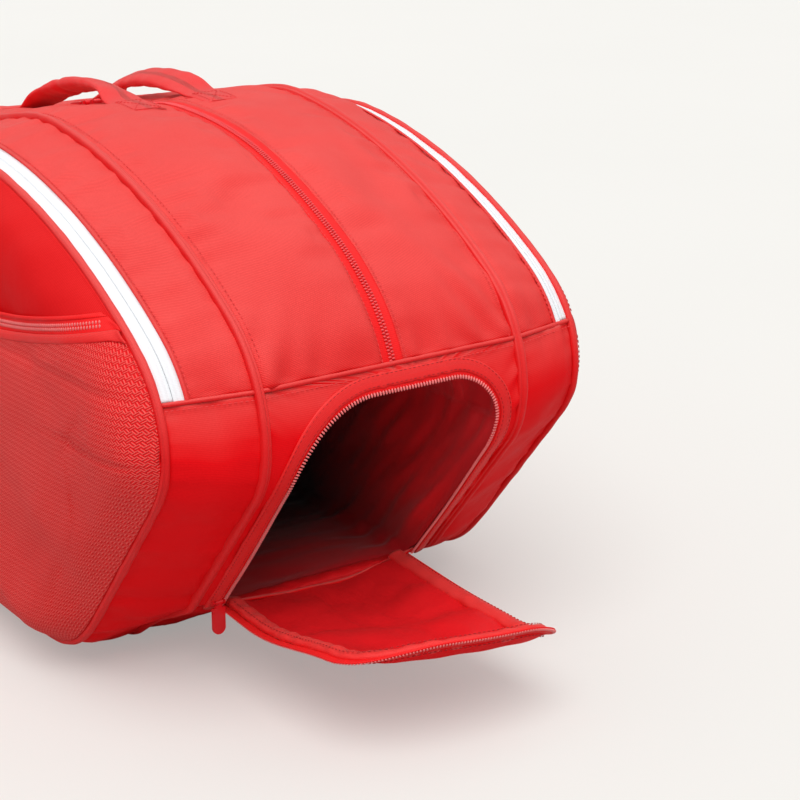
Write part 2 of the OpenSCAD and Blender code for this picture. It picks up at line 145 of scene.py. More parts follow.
def smooth(t):
    """Eases from 0 to 1 as t does."""
    t = np.clip(t, 0, 1)
    return t * t * (3 - 2 * t)


# ---------------------------------------------------------------- the outline

def arc(centre, radius, start, end, step):
    count = max(2, int(abs(end - start) * radius / step))
    angle = np.linspace(start, end, count, endpoint=False)
    normal = np.stack([np.cos(angle), np.sin(angle)], 1)
    return np.array(centre) + radius * normal, normal


def closed_outline(step=0.25 * MM):
    """Points and outward normals from the middle of the base, up the shoe end, over the top and back."""
    upper = (NOSE_X - NOSE_UPPER_R, NOSE_Z)
    lower = (NOSE_X - NOSE_LOWER_R, NOSE_Z)
    sin_s, cos_s = math.sin(SHOULDER_ANGLE), math.cos(SHOULDER_ANGLE)
    sin_u, cos_u = math.sin(UNDERCUT_ANGLE), math.cos(UNDERCUT_ANGLE)
    start = (upper[0] + NOSE_UPPER_R * cos_s, upper[1] + NOSE_UPPER_R * sin_s)
    shoulder_r = (SHOULDER_TOP - start[1]) / (1 - sin_s)
    shoulder = (start[0] - shoulder_r * cos_s, start[1] - shoulder_r * sin_s)
    reach = shoulder_r - CREST_R
    crest = (shoulder[0] + reach * math.cos(CREST_ANGLE), shoulder[1] + reach * math.sin(CREST_ANGLE))
    nx, nz = -math.sin(TOP_SLOPE), math.cos(TOP_SLOPE)
    slope_start = (crest[0] + CREST_R * nx, crest[1] + CREST_R * nz)
    far_r = ((slope_start[0] + NOSE_X) * nx + (slope_start[1] - NOSE_Z) * nz) / (1 + nx)
    far_upper = (far_r - NOSE_X, NOSE_Z)
    slope_end = (far_upper[0] + far_r * nx, far_upper[1] + far_r * nz)
    top = (lower[0] + NOSE_LOWER_R * cos_u, lower[1] - NOSE_LOWER_R * sin_u)
    corner = (top[0] - (CORNER_R + (top[1] - CORNER_R) * sin_u) / cos_u, CORNER_R)
    bottom = (corner[0] + CORNER_R * cos_u, corner[1] - CORNER_R * sin_u)
    half = math.pi / 2

    def line(a, b, normal):
        count = max(2, int(math.dist(a, b) / step))
        share = np.linspace(0, 1, count, endpoint=False)[:, None]
        return np.array(a) + share * (np.array(b) - np.array(a)), repeated(normal, count)

    runs = [
        line((0, 0), (corner[0], 0), (0, -1)),
        arc(corner, CORNER_R, -half, -UNDERCUT_ANGLE, step),
        line(bottom, top, (cos_u, -sin_u)),
        arc(lower, NOSE_LOWER_R, -UNDERCUT_ANGLE, 0, step),
        arc(upper, NOSE_UPPER_R, 0, SHOULDER_ANGLE, step),
        arc(shoulder, shoulder_r, SHOULDER_ANGLE, CREST_ANGLE, step),
        arc(crest, CREST_R, CREST_ANGLE, half + TOP_SLOPE, step),
        line(slope_start, slope_end, (nx, nz)),
        arc(far_upper, far_r, half + TOP_SLOPE, math.pi, step),
        arc((-lower[0], lower[1]), NOSE_LOWER_R, math.pi, math.pi + UNDERCUT_ANGLE, step),
        line((-top[0], top[1]), (-bottom[0], bottom[1]), (-cos_u, -sin_u)),
        arc((-corner[0], corner[1]), CORNER_R, math.pi + UNDERCUT_ANGLE, 3 * half, step),
        line((-corner[0], 0), (0, 0), (0, -1)),
        (np.array([(0.0, 0.0)]), np.array([(0.0, -1.0)])),
    ]
    return np.concatenate([r[0] for r in runs]), np.concatenate([r[1] for r in runs])


LOOP_P, LOOP_N = closed_outline()
LOOP_S = run_along(LOOP_P)
LOOP = LOOP_S[-1]

BASE_RISE = 18 * MM
BASE_RISE_REACH = FOLD_X - high("base_board").x - 1 * MM


def base_rise():
    """How far the middle of the base is drawn up towards the shoe door's fold, and the normals that gives."""
    x, z = LOOP_P.T
    reach = np.clip((FOLD_X - x) / BASE_RISE_REACH, 0, 1)
    rise = np.where(z < FOLD_Z, BASE_RISE * np.clip(np.sin(math.pi * reach ** 0.85), 0, 1) ** 1.3, 0.0)
    dx, dz = np.gradient(x), np.gradient(z + rise)
    length = np.maximum(np.hypot(dx, dz), 1e-12)
    drawn = (rise > 1e-6)[:, None]
    return rise, np.where(drawn, points_of(dz / length, -dx / length), LOOP_N)


LOOP_RISE, RISEN_N = base_rise()


def outline(s, inset=0.0):
    """Points (x, z) and normals at distance s along the closed outline, moved inwards by inset."""
    s = np.mod(np.asarray(s, float), LOOP)
    px, pz, rise = (np.interp(s, LOOP_S, v) for v in (LOOP_P[:, 0], LOOP_P[:, 1], LOOP_RISE))
    share = np.clip(1 - inset / EDGE_INSET, 0, 1)
    nx, nz = (np.interp(s, LOOP_S, share * risen + (1 - share) * plain)
              for risen, plain in zip(RISEN_N.T, LOOP_N.T))
    return px - nx * inset, pz + share * rise - nz * inset, nx, nz


NEAR_END = (LOOP_P[:, 0] > 0) & (LOOP_P[:, 1] > 1e-6) & (LOOP_S < LOOP_S[np.argmax(LOOP_P[:, 1])])
FAR_END = (LOOP_P[:, 0] < -NOSE_X / 2) & (LOOP_P[:, 1] > NOSE_Z)
TOP_SIDE = (LOOP_S > LOOP_S[np.argmax(LOOP_P[:, 0])]) & (LOOP_S < LOOP_S[np.argmin(LOOP_P[:, 0])])


def s_at_height(z):
    """Distance along the outline at a height on the shoe end."""
    return np.interp(z, LOOP_P[NEAR_END, 1], LOOP_S[NEAR_END])


SEAM_S = float(s_at_height(SEAM_Z))
SEAM_FAR = float(np.interp(-SEAM_Z, -LOOP_P[FAR_END, 1], LOOP_S[FAR_END]))
FOLD_S = float(s_at_height(FOLD_Z))
INSET_RATE = EDGE_INSET / (EDGE_Y - MIDDLE_Y)


def waves(u, v, scale, seed, count=14):
    """A smooth repeatable noise in -1..1 made of plane waves about scale long."""
    rng = np.random.default_rng(seed)
    total = np.zeros(np.broadcast(u, v).shape)
    for _ in range(count):
        direction, phase = rng.uniform(0, 2 * math.pi, 2)
        length = scale * rng.uniform(0.6, 1.7)
        k = 2 * math.pi / length
        total += np.sin(k * (u * math.cos(direction) + v * math.sin(direction)) + phase)
    return total / math.sqrt(count)


def pucker(along, away, seed, size=0.5 * MM, reach=9 * MM, wave=11 * MM):
    """Short ripples that a row of stitches draws into cloth, dying away from the seam."""
    return size * waves(along, along * 0, wave, seed, 8) * np.exp(-np.abs(away) / reach)


SEAM_PULL = 5.5 * MM
SEAM_PULL_REACH = 80 * MM
EDGE_SOFTNESS = 15 * MM


def edge_curve():
    """The outer edge of a racket section: the inset outline softened, with its end seams drawn up."""
    s = np.linspace(0, LOOP, 2400, endpoint=False)
    near, far = (smooth(1 - np.abs(s - seam) / SEAM_PULL_REACH) for seam in (SEAM_S, SEAM_FAR))
    x, z, _, _ = outline(s + SEAM_PULL * (near - far), EDGE_INSET)
    frequency = np.fft.fftfreq(len(s), LOOP / len(s))
    bell = np.exp(-2 * (math.pi * frequency * EDGE_SOFTNESS) ** 2)
    x, z = (np.real(np.fft.ifft(np.fft.fft(v) * bell)) for v in (x, z))
    dx, dz = (np.roll(v, -1) - np.roll(v, 1) for v in (x, z))
    length = np.hypot(dx, dz)
    closed = [np.append(v, v[0]) for v in (x, z, dz / length, -dx / length)]
    return np.append(s, LOOP), closed


EDGE_S, EDGE_CURVE = edge_curve()


def edge_outline(s, inset=0.0):
    """Points (x, z) and normals of the outer edge at distance s round the outline, moved inwards by inset."""
    s = np.mod(np.asarray(s, float), LOOP)
    x, z, nx, nz = (np.interp(s, EDGE_S, v) for v in EDGE_CURVE)
    return x - nx * inset, z - nz * inset, nx, nz


SHOULDER_CROWN = 8.5 * MM


def middle_crown(s, y):
    """How far the middle section stands out of the outline between its pipings."""
    x, z, _, _ = outline(s)
    shoulder = SHOULDER_CROWN * smooth((x - 95 * MM) / (140 * MM)) * smooth((NOSE_X + 8 * MM - x) / (75 * MM))
    shoulder = shoulder * smooth((z - 15 * MM) / (35 * MM))
    return shoulder * (1 - (y / MIDDLE_Y) ** 2)


def skin(s, y, out):
    """The bag's surface at distance s round the outline and y across it, raised by out."""
    s, y, out = np.broadcast_arrays(np.asarray(s, float), np.asarray(y, float), np.asarray(out, float))
    beyond = np.maximum(np.abs(y) - MIDDLE_Y, 0)
    share = beyond / (EDGE_Y - MIDDLE_Y)
    x, z, nx, nz = ((1 - share) * inner + share * outer
                    for inner, outer in zip(outline(s), edge_outline(s)))
    tilt = np.where(beyond > 0, INSET_RATE, 0.0)
    length = np.sqrt(1 + tilt ** 2)
    raised = out + np.where(beyond > 0, 0, middle_crown(s, y))
    return points_of(
        x + nx / length * raised,
        y + np.sign(y) * tilt / length * raised,
        z + nz / length * raised,
    )


# ---------------------------------------------------------------- mesh making

def make_object(name, points, faces, materials, uv=None, face_material=None):
    points = np.asarray(points, np.float32)
    faces = np.asarray(faces, np.int32)
    mesh = bpy.data.meshes.new(name)
    mesh.vertices.add(len(points))
    mesh.vertices.foreach_set("co", points.ravel())
    mesh.loops.add(faces.size)
    mesh.loops.foreach_set("vertex_index", faces.ravel())
    mesh.polygons.add(len(faces))
    mesh.polygons.foreach_set("loop_start", np.arange(0, faces.size, faces.shape[1], dtype=np.int32))
    if face_material is not None:
        mesh.polygons.foreach_set("material_index", np.asarray(face_material, np.int32))
    if uv is not None:
        layer = mesh.uv_layers.new(name="cloth")
        layer.data.foreach_set("uv", np.asarray(uv, np.float32)[faces.ravel()].ravel())
    mesh.update(calc_edges=True)
    mesh.validate()
    mesh.polygons.foreach_set("use_smooth", [True] * len(mesh.polygons))
    for material in materials:
        mesh.materials.append(material)
    obj = bpy.data.objects.new(name, mesh)
    bpy.context.scene.collection.objects.link(obj)
    return obj


def grid_faces(rows, cols, start=0, flip=False, closed=False):
    """Quads of a rows x cols grid of vertices. closed joins the last row to the first."""
    i = np.arange(rows if closed else rows - 1)[:, None]
    j = np.arange(cols - 1)[None, :]
    a = i * cols + j
    b = ((i + 1) % rows) * cols + j
    quads = points_of(a, b, b + 1, a + 1).reshape(-1, 4) + start
    return quads[:, ::-1] if flip else quads


def grid_normals(points, closed=False):
    if closed:
        du = np.roll(points, -1, 0) - np.roll(points, 1, 0)
    else:
        du = np.gradient(points, axis=0)
    dv = np.gradient(points, axis=1)
    normal = np.cross(du, dv)
    return normal / np.maximum(np.linalg.norm(normal, axis=-1, keepdims=True), 1e-12)


def shell(name, points, uv, thickness, materials, outward, closed=False):
    """A closed cloth shell: points is the outer face as a grid, and the inner face lies thickness behind it.

    outward is a rough direction at each point, or one for all, that the outer face looks in."""
    rows, cols = points.shape[:2]
    normal = grid_normals(points, closed)
    facing = np.sign(np.sum((normal * np.asarray(outward)).reshape(-1, 3)))
    normal = normal * facing
    inner = points - normal * np.asarray(thickness)[..., None]
    flip = facing < 0
    count = rows * cols
    outer_quads = grid_faces(rows, cols, 0, flip, closed)
    inner_quads = grid_faces(rows, cols, count, not flip, closed)
    index = np.arange(count).reshape(rows, cols)
    loops = [(index[:, 0], not flip), (index[:, -1], flip)]
    if not closed:
        loops += [(index[0, :], flip), (index[-1, :], not flip)]
    rims = []
    for line, turn in loops:
        a, b = line[:-1], line[1:]
        if closed:
            a, b = line, np.roll(line, -1)
        quads = points_of(a, b, b + count, a + count)
        rims.append(quads[:, ::-1] if turn else quads)
    faces = np.concatenate([outer_quads, inner_quads] + rims)
    face_material = np.zeros(len(faces), int)
    if len(materials) > 1:
        face_material[len(outer_quads):len(outer_quads) + len(inner_quads)] = 1
    uv = uv.reshape(-1, 2)
    return make_object(name, np.concatenate([points.reshape(-1, 3), inner.reshape(-1, 3)]),
                       faces, materials, np.concatenate([uv, uv]), face_material)


SIM_FRAMES = 20
SIM_COLS = 90


def relax(points, outward, limit, spread=0.02, pressure=1.5):
    """Lets a coarse copy of a sheet settle as slack cloth pinned round its border, and adds how it moved.

    limit caps the movement and spread is how much larger than its place the cloth is cut."""
    rows, cols = (np.unique(np.linspace(0, n - 1, min(n, SIM_COLS)).astype(int)) for n in points.shape[:2])
    coarse = points[np.ix_(rows, cols)]
    normal = grid_normals(coarse)
    flip = np.sum(normal * np.broadcast_to(outward, points.shape)[np.ix_(rows, cols)]) < 0
    sheet = make_object("cloth_trial", coarse.reshape(-1, 3), grid_faces(len(rows), len(cols), 0, flip), [])
    border = np.zeros(coarse.shape[:2], bool)
    border[0], border[-1], border[:, 0], border[:, -1] = True, True, True, True
    pins = sheet.vertex_groups.new(name="pins")
    pins.add(np.flatnonzero(border.ravel()).tolist(), 1.0, "REPLACE")
    cloth = sheet.modifiers.new("cloth", "CLOTH").settings
    cloth.vertex_group_mass = "pins"
    cloth.quality = 4
    cloth.tension_stiffness, cloth.compression_stiffness, cloth.shear_stiffness = 12, 4, 4
    cloth.bending_stiffness = 0.4
    cloth.use_pressure = True
    cloth.uniform_pressure_force = pressure
    cloth.effector_weights.gravity = 0
    cloth.shrink_min = cloth.shrink_max = -spread
    scene = bpy.context.scene
    for step in range(1, SIM_FRAMES + 1):
        scene.frame_set(step)
    settled = sheet.evaluated_get(bpy.context.evaluated_depsgraph_get())
    moved = np.empty(coarse.size, np.float32)
    settled.data.vertices.foreach_get("co", moved)
    shift = moved.reshape(coarse.shape) - coarse
    size = np.linalg.norm(shift, axis=-1, keepdims=True)
    print("relaxed", points.shape, "moved up to", round(float(size.max()) / MM, 2), "mm")
    shift = shift * (limit * np.tanh(size / limit) / np.maximum(size, 1e-9))
    bpy.data.objects.remove(sheet)
    scene.frame_set(1)
    free = 1.0
    for axis, n in enumerate(points.shape[:2]):
        place = np.arange(n)
        held = smooth(np.minimum(place, n - 1 - place) / (0.16 * n))
        free = free * (held[:, None] if axis == 0 else held[None])
    return points + between(shift, rows, cols, points.shape[:2]) * free[..., None]


def between(values, rows, cols, shape):
    """Values known at some rows and columns of a grid, interpolated over all of it."""
    full_rows, full_cols = np.arange(shape[0]), np.arange(shape[1])
    down = np.stack([np.stack([np.interp(full_rows, rows, values[:, j, k]) for j in range(len(cols))], 1)
                     for k in range(3)], -1)
    return np.stack([np.stack([np.interp(full_cols, cols, down[i, :, k]) for i in range(shape[0])], 0)
                     for k in range(3)], -1)


def sweep(name, centre, up, side, section, materials, closed=False):
    """Sweeps a closed section of (up, side) offsets along a path, with a fan of quads over open ends."""
    centre, up, side = np.asarray(centre), np.asarray(up), np.asarray(side)
    section = np.asarray(section)
    if section.ndim == 2:
        section = np.broadcast_to(section, (len(centre),) + section.shape)
    points = centre[:, None] + up[:, None] * section[..., :1] + side[:, None] * section[..., 1:]
    rows, cols = points.shape[:2]
    uv = points_of(run_along(centre)[:, None], run_along(section[0])[None])
    i = np.arange(rows if closed else rows - 1)[:, None]
    j = np.arange(cols)[None, :]
    a, b = i * cols + j, ((i + 1) % rows) * cols + j
    a2, b2 = i * cols + (j + 1) % cols, ((i + 1) % rows) * cols + (j + 1) % cols
    faces = points_of(a, b, b2, a2).reshape(-1, 4)
    verts, uvs = points.reshape(-1, 3), uv.reshape(-1, 2)
    if not closed:
        ends = []
        for row, turn in ((0, False), (rows - 1, True)):
            middle = points[row].mean(0)
            verts = np.concatenate([verts, middle[None]])
            uvs = np.concatenate([uvs, uv[row, :1]])
            hub = len(verts) - 1
            k = np.arange(0, cols, 2)
            ring_a, ring_b, ring_c = row * cols + k, row * cols + (k + 1) % cols, row * cols + (k + 2) % cols
            fan = points_of(hub, ring_a, ring_b, ring_c)
            ends.append(fan[:, ::-1] if turn else fan)
        faces = np.concatenate([faces] + ends)
    obj = make_object(name, verts, faces, materials, uvs)
    fix_normals(obj)
    return obj


def fix_normals(obj):
    bm = bmesh.new()
    bm.from_mesh(obj.data)
    bmesh.ops.recalc_face_normals(bm, faces=bm.faces)
    bm.to_mesh(obj.data)
    bm.free()


def rounded_section(height, width, count=20, power=3.0):
    """A closed flat-oval section, as (up, side) offsets about its middle. count is even."""
    t = np.linspace(0, 2 * math.pi, count, endpoint=False)
    c, s = np.cos(t), np.sin(t)
    return points_of(
        height / 2 * np.sign(c) * np.abs(c) ** (2 / power),
        width / 2 * np.sign(s) * np.abs(s) ** (2 / power),
    )


def changing_section(height, width, count, power):
    """A rounded section for each point of a path along which its height or width changes."""
    return rounded_section(1.0, 1.0, count, power)[None] * points_of(height, width)[:, None, :]


def bar_set(centres, along, up, length, width, height, rings=5, around=8):
    """Many small rounded bars, such as stitches or zip teeth, as one set of points and faces."""
    centres, along, up = (np.asarray(v, float) for v in (centres, along, up))
    along = unit(along)
    side = unit(np.cross(up, along))
    top = np.cross(along, side)
    t = np.linspace(-1, 1, rings)
    swell = np.sqrt(np.maximum(1 - np.abs(t) ** 3, 0.02))
    angle = np.linspace(0, 2 * math.pi, around, endpoint=False)
    local = points_of(
        np.broadcast_to(t[:, None] * length / 2, (rings, around)),
        swell[:, None] * np.cos(angle)[None] * width / 2,
        swell[:, None] * np.sin(angle)[None] * height / 2,
    ).reshape(-1, 3)
    points = (centres[:, None] + along[:, None] * local[None, :, :1]
              + side[:, None] * local[None, :, 1:2] + top[:, None] * local[None, :, 2:])
    i = np.arange(rings - 1)[:, None] * around
    j = np.arange(around)[None]
    quads = points_of(i + j, i + around + j, i + around + (j + 1) % around, i + (j + 1) % around)
    quads = quads.reshape(-1, 4)
    caps = []
    for start, turn in ((0, True), ((rings - 1) * around, False)):
        for k in range(1, around - 2, 2):
            cap = [start, start + k, start + k + 1, start + k + 2]
            caps.append(cap[::-1] if turn else cap)
    one = np.concatenate([quads, caps])
    offset = (np.arange(len(centres)) * rings * around)[:, None, None]
    return points.reshape(-1, 3), (one[None] + offset).reshape(-1, 4)


def along_path(points, pitch, margin=0.0):
    """Positions every pitch along a path, as indices that np.interp can use."""
    length = run_along(points)
    stops = np.arange(margin, length[-1] - margin, pitch)
    return np.interp(stops, length, np.arange(len(points)))


def pick(values, index):
    columns = [np.interp(index, np.arange(len(values)), values[:, k]) for k in range(values.shape[1])]
    return np.stack(columns, -1)


class Bars:
    """Collects rows of stitches or teeth that ride on one body, and makes one object of them."""

    def __init__(self):
        self.points, self.faces, self.count = [], [], 0

    def add(self, points, faces):
        self.points.append(points)
        self.faces.append(faces + self.count)
        self.count += len(points)

    def stitches(self, path, up, pitch=3.3 * MM, length=2.5 * MM, thick=0.62 * MM, margin=1.5 * MM):
        path, up = np.asarray(path, float), np.asarray(up, float)
        index = along_path(path, pitch, margin)
        if len(index) < 2:
            return
        here = pick(path, index)
        ahead = pick(path, np.minimum(index + 0.3, len(path) - 1)) - pick(path, np.maximum(index - 0.3, 0))
        self.add(*bar_set(here, ahead, pick(up, index), length, thick, thick, 4, 6))

    def make(self, name, material, body, slot):
        obj = make_object(name, np.concatenate(self.points), np.concatenate(self.faces), [material])
        fix_normals(obj)
        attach(obj, body)
        return obj


def raised(s, y, out):
    """A path over the bag's surface, out above it, and the surface's normals along it."""
    here = skin(s, y, out)
    return here, path_normals(skin(s, y, out + MM), here)


# ---------------------------------------------------------------- materials

class Graph:
    """A short way to write a material's nodes."""

    def __init__(self, name):
        self.material = bpy.data.materials.new(name)
        self.material.use_nodes = True
        self.tree = self.material.node_tree
        self.bsdf = self.tree.nodes["Principled BSDF"]

    def node(self, kind, inputs=None, **settings):
        made = self.tree.nodes.new(kind)
        for key, value in settings.items():
            setattr(made, key, value)
        for key, value in (inputs or {}).items():
            self.feed(made.inputs[key], value)
        return made

    def feed(self, socket, value):
        if isinstance(value, bpy.types.NodeSocket):
            self.tree.links.new(value, socket)
        else:
            socket.default_value = value

    def put(self, name, value):
        self.feed(self.bsdf.inputs[name], value)

    def math(self, operation, a, b=0.0):
        return self.node("ShaderNodeMath", {0: a, 1: b}, operation=operation).outputs[0]

    def plus(self, a, b):
        return self.math("ADD", a, b)

    def times(self, a, b):
        return self.math("MULTIPLY", a, b)

    def noise(self, vector, scale, detail=3.0, rough=0.55):
        made = self.node("ShaderNodeTexNoise",
                         {"Vector": vector, "Scale": scale, "Detail": detail, "Roughness": rough})
        return made.outputs["Fac"]

    def mix(self, share, a, b):
        made = self.node("ShaderNodeMix", data_type="RGBA")
        self.feed(made.inputs["Factor"], share)
        for socket, value in ((made.inputs[6], a), (made.inputs[7], b)):
            self.feed(socket, value if isinstance(value, bpy.types.NodeSocket) else (*value, 1.0))
        return made.outputs[2]

    def spread(self, value, low_in, high_in, low_out=0.0, high_out=1.0):
        made = self.node("ShaderNodeMapRange", {
            "Value": value, "From Min": low_in, "From Max": high_in, "To Min": low_out, "To Max": high_out})
        return made.outputs["Result"]

    def bump(self, height, distance, strength=1.0, under=None):
        inputs = {"Height": height, "Distance": distance, "Strength": strength}
        if under is not None:
            inputs["Normal"] = under
        return self.node("ShaderNodeBump", inputs).outputs["Normal"]

    def cloth_uv(self):
        """(u, v) of the cloth in millimetres."""
        uv = self.node("ShaderNodeUVMap", uv_map="cloth").outputs["UV"]
        split = self.node("ShaderNodeSeparateXYZ", {"Vector": uv})
        return self.times(split.outputs["X"], 1000.0), self.times(split.outputs["Y"], 1000.0)

    def place(self):
        return self.node("ShaderNodeTexCoord").outputs["Object"]


def stripes_value(graph, coordinate, period):
    wave = graph.math("SINE", graph.times(coordinate, 2 * math.pi / period))
    return graph.plus(graph.times(wave, 0.5), 0.5)


def cloth_material(name, colour, kind="twill", sheen=0.3, rough=0.5, depth=0.10, light=1.12, dark=0.84,
                   gloss=0.15, top_light_share=0.35, top_light_level=0.95):
    """Woven cloth: a weave at its real pitch, uneven dye, and a painted highlight that turns the colour pale
    coral where the cloth faces up.
    """
    g = Graph(name)
    u, v = g.cloth_uv()
    place = g.place()
    if kind == "twill":
        fine = stripes_value(g, g.plus(u, g.times(v, 0.8)), 1.5)
        cross = stripes_value(g, g.math("SUBTRACT", u, v), 0.9)
        weave = g.plus(g.times(fine, 0.75), g.times(cross, 0.25))
    elif kind == "ribs":
        fine = stripes_value(g, v, 0.7)
        cross = stripes_value(g, u, 1.15)
        weave = g.plus(g.times(fine, 0.4), g.times(cross, 0.6))
    elif kind == "webbing":
        zigzag = g.math("PINGPONG", v, 4.0)
        weave = stripes_value(g, g.plus(u, zigzag), 2.0)
    else:
        fine = stripes_value(g, u, 0.8)
        cross = stripes_value(g, v, 0.8)
        weave = g.times(fine, cross)
    fuzz = g.noise(place, 900.0, 2.0)
    cloud = g.noise(place, 9.0, 4.0)
    worn = g.noise(place, 38.0, 5.0)
    shade = g.plus(g.times(weave, 0.45), g.times(fuzz, 0.25))
    shade = g.plus(shade, g.times(cloud, 0.30))
    bright = [min(0.97, c * light) + 0.004 for c in colour]
    deep = [c * dark for c in colour]
    dye_and_top_light = g.mix(g.spread(shade, 0.25, 0.75), deep, bright)
    # Painted highlight: red cloth that faces up is mixed towards a pale coral, standing in for the light from
    # overhead.
    if colour[0] > 2 * colour[1]:
        facing = g.node("ShaderNodeNewGeometry").outputs["Normal"]
        upward = g.node("ShaderNodeSeparateXYZ", {"Vector": facing}).outputs["Z"]
        painted_top_light = g.mix(g.spread(shade, 0.25, 0.75), (colour[0] * top_light_level * 0.86, 0.075, 0.070),
                      (colour[0] * top_light_level, 0.150, 0.138))
        dye_and_top_light = g.mix(g.spread(upward, 0.0, 0.9, 0.0, top_light_share), dye_and_top_light, painted_top_light)
    g.put("Base Color", dye_and_top_light)
    g.put("Roughness", g.spread(worn, 0.3, 0.7, rough - 0.07, rough + 0.1))
    g.put("Sheen Weight", sheen)
    g.put("Sheen Roughness", 0.35)
    g.put("Sheen Tint", (1.0, 0.38, 0.34, 1.0) if colour[0] > 2 * colour[1] else (1, 1, 1, 1))
    g.put("Specular IOR Level", gloss)
    soft = g.bump(g.noise(place, 120.0, 3.0), 0.35 * MM, 0.5)
    g.put("Normal", g.bump(weave, depth * MM, 1.0, soft))
    return g.material


def basket_material(name):
    """Open basket weave: pale slanting threads in blocks that change direction, over a dark backing."""
    g = Graph(name)
    u, v = g.cloth_uv()
    slant = 0.7071
    p = g.times(g.plus(u, v), slant)
    q = g.times(g.math("SUBTRACT", u, v), slant)
    cell = 2.5
    odd = g.math("MODULO", g.plus(g.math("FLOOR", g.math("DIVIDE", p, cell)),
                                  g.math("FLOOR", g.math("DIVIDE", q, cell))), 2.0)
    odd = g.math("ABSOLUTE", odd)
    one = stripes_value(g, p, cell / 2)
    other = stripes_value(g, q, cell / 2)
    thread = g.plus(g.times(one, odd), g.times(other, g.math("SUBTRACT", 1.0, odd)))
    place = g.place()
    fuzz = g.noise(place, 700.0, 2.0)
    cloud = g.noise(place, 14.0, 4.0)
    level = g.plus(g.times(thread, 0.8), g.times(fuzz, 0.25))
    level = g.plus(level, g.times(g.math("SUBTRACT", cloud, 0.5), 0.3))
    colour = g.mix(g.spread(level, 0.38, 0.92), (0.80, 0.001, 0.004), (0.97, 0.11, 0.10))
    g.put("Base Color", colour)
    g.put("Roughness", 0.62)
    g.put("Sheen Weight", 0.02)
    g.put("Specular IOR Level", 0.2)
    g.put("Normal", g.bump(thread, 0.45 * MM, 1.0))
    return g.material


def hard_material(name, colour, rough, grain=500.0, depth=0.05, coat=0.0):
    """Moulded or enamelled hardware with a fine grain and handled, uneven gloss."""
    g = Graph(name)
    place = g.place()
    cloud = g.noise(place, 60.0, 4.0)
    g.put("Base Color", g.mix(cloud, [c * 0.82 for c in colour], [min(1, c * 1.15) for c in colour]))
    g.put("Roughness", g.spread(g.noise(place, 180.0, 4.0), 0.3, 0.7, rough - 0.08, rough + 0.12))
    g.put("Coat Weight", coat)
    g.put("Normal", g.bump(g.noise(place, grain, 2.0), depth * MM, 0.6))
    return g.material


# X positions between which the tunnel lining's painted shade lifts from near black to lit red
TUNNEL_DARK_X, TUNNEL_LIT_X = 0.165, 0.300


def tunnel_material(name):
    """Thin red lining with painted shade: its colour falls to near black deeper in the compartment."""
    g = Graph(name)
    place = g.place()
    x = g.node("ShaderNodeSeparateXYZ", {"Vector": place}).outputs["X"]
    u, v = g.cloth_uv()
    weave = g.times(stripes_value(g, u, 0.9), stripes_value(g, v, 0.9))
    # Painted shade: the lining turns near black towards the back of the compartment.
    painted_depth_shade = g.spread(x, TUNNEL_DARK_X, TUNNEL_LIT_X)
    cloud = g.noise(place, 16.0, 4.0)
    red = g.mix(cloud, (0.52, 0.003, 0.010), (0.76, 0.006, 0.014))
    g.put("Base Color", g.mix(painted_depth_shade, (0.012, 0.004, 0.005), red))
    g.put("Roughness", 0.5)
    g.put("Sheen Weight", 0.15)
    g.put("Normal", g.bump(weave, 0.05 * MM, 1.0, g.bump(g.noise(place, 90.0), 0.4 * MM, 0.5)))
    return g.material


RED = (0.80, 0.006, 0.008)
DEEP_RED = (0.74, 0.002, 0.005)

# Every red cloth below carries a painted highlight where it faces up.
M_TWILL = cloth_material("red_twill", RED, "twill", sheen=0.12, rough=0.55, depth=0.16, light=1.08,
                         dark=0.80, top_light_share=0.62, top_light_level=1.12)
M_RIBS = cloth_material("red_ribs", (0.88, 0.003, 0.007), "ribs", sheen=0.02, depth=0.05, light=1.06,
                        dark=0.90, gloss=0.04, top_light_share=0.85, top_light_level=0.80)
M_SIDE = cloth_material("side_red", DEEP_RED, "ribs", sheen=0.02, depth=0.05, light=1.08, dark=0.88,
                        gloss=0.04, top_light_share=0.15)
M_BASE = cloth_material("base_red", (0.50, 0.004, 0.010), "plain", sheen=0.1)
M_PIPING = cloth_material("piping_red", (0.86, 0.006, 0.009), "plain", sheen=0.1, depth=0.06, gloss=0.25,
                          top_light_share=0.7)
M_MESH = basket_material("pocket_basket_weave")
M_BINDING = cloth_material("binding_red", (0.90, 0.016, 0.018), "plain", sheen=0.3, rough=0.42, depth=0.04)
M_TAPE = cloth_material("zip_tape_red", (0.92, 0.003, 0.006), "ribs", sheen=0.04, depth=0.06, top_light_share=0.15)
M_WHITE = cloth_material("zip_tape_white", (0.84, 0.87, 0.92), "ribs", sheen=0.15, rough=0.55, light=1.04,
                         dark=0.96, depth=0.06)
M_COIL = hard_material("coil_pink", (0.90, 0.20, 0.20), 0.38, depth=0.02)
M_COIL_RED = hard_material("coil_red", (0.86, 0.075, 0.085), 0.42, depth=0.02)
M_THREAD = cloth_material("thread_red", (0.88, 0.05, 0.055), "plain", sheen=0.3)
M_THREAD_DARK = cloth_material("thread_dark_red", (0.50, 0.003, 0.008), "plain", sheen=0.1)
M_LINING = cloth_material("lining_red", (0.80, 0.005, 0.011), "plain", sheen=0.04, rough=0.38, depth=0.04,
                          top_light_share=0.06)
M_DARK = cloth_material("lining_dark", (0.045, 0.045, 0.05), "plain", sheen=0.2, rough=0.6)
M_TUNNEL = tunnel_material("shoe_tunnel_lining")
M_HANDLE = cloth_material("handle_red", (0.88, 0.022, 0.030), "twill", sheen=0.5, depth=0.16)
M_WEBBING = cloth_material("strap_webbing", (0.62, 0.006, 0.014), "webbing", sheen=0.2, depth=0.25)
M_PAD = cloth_material("strap_pad_red", DEEP_RED, "ribs", sheen=0.15)
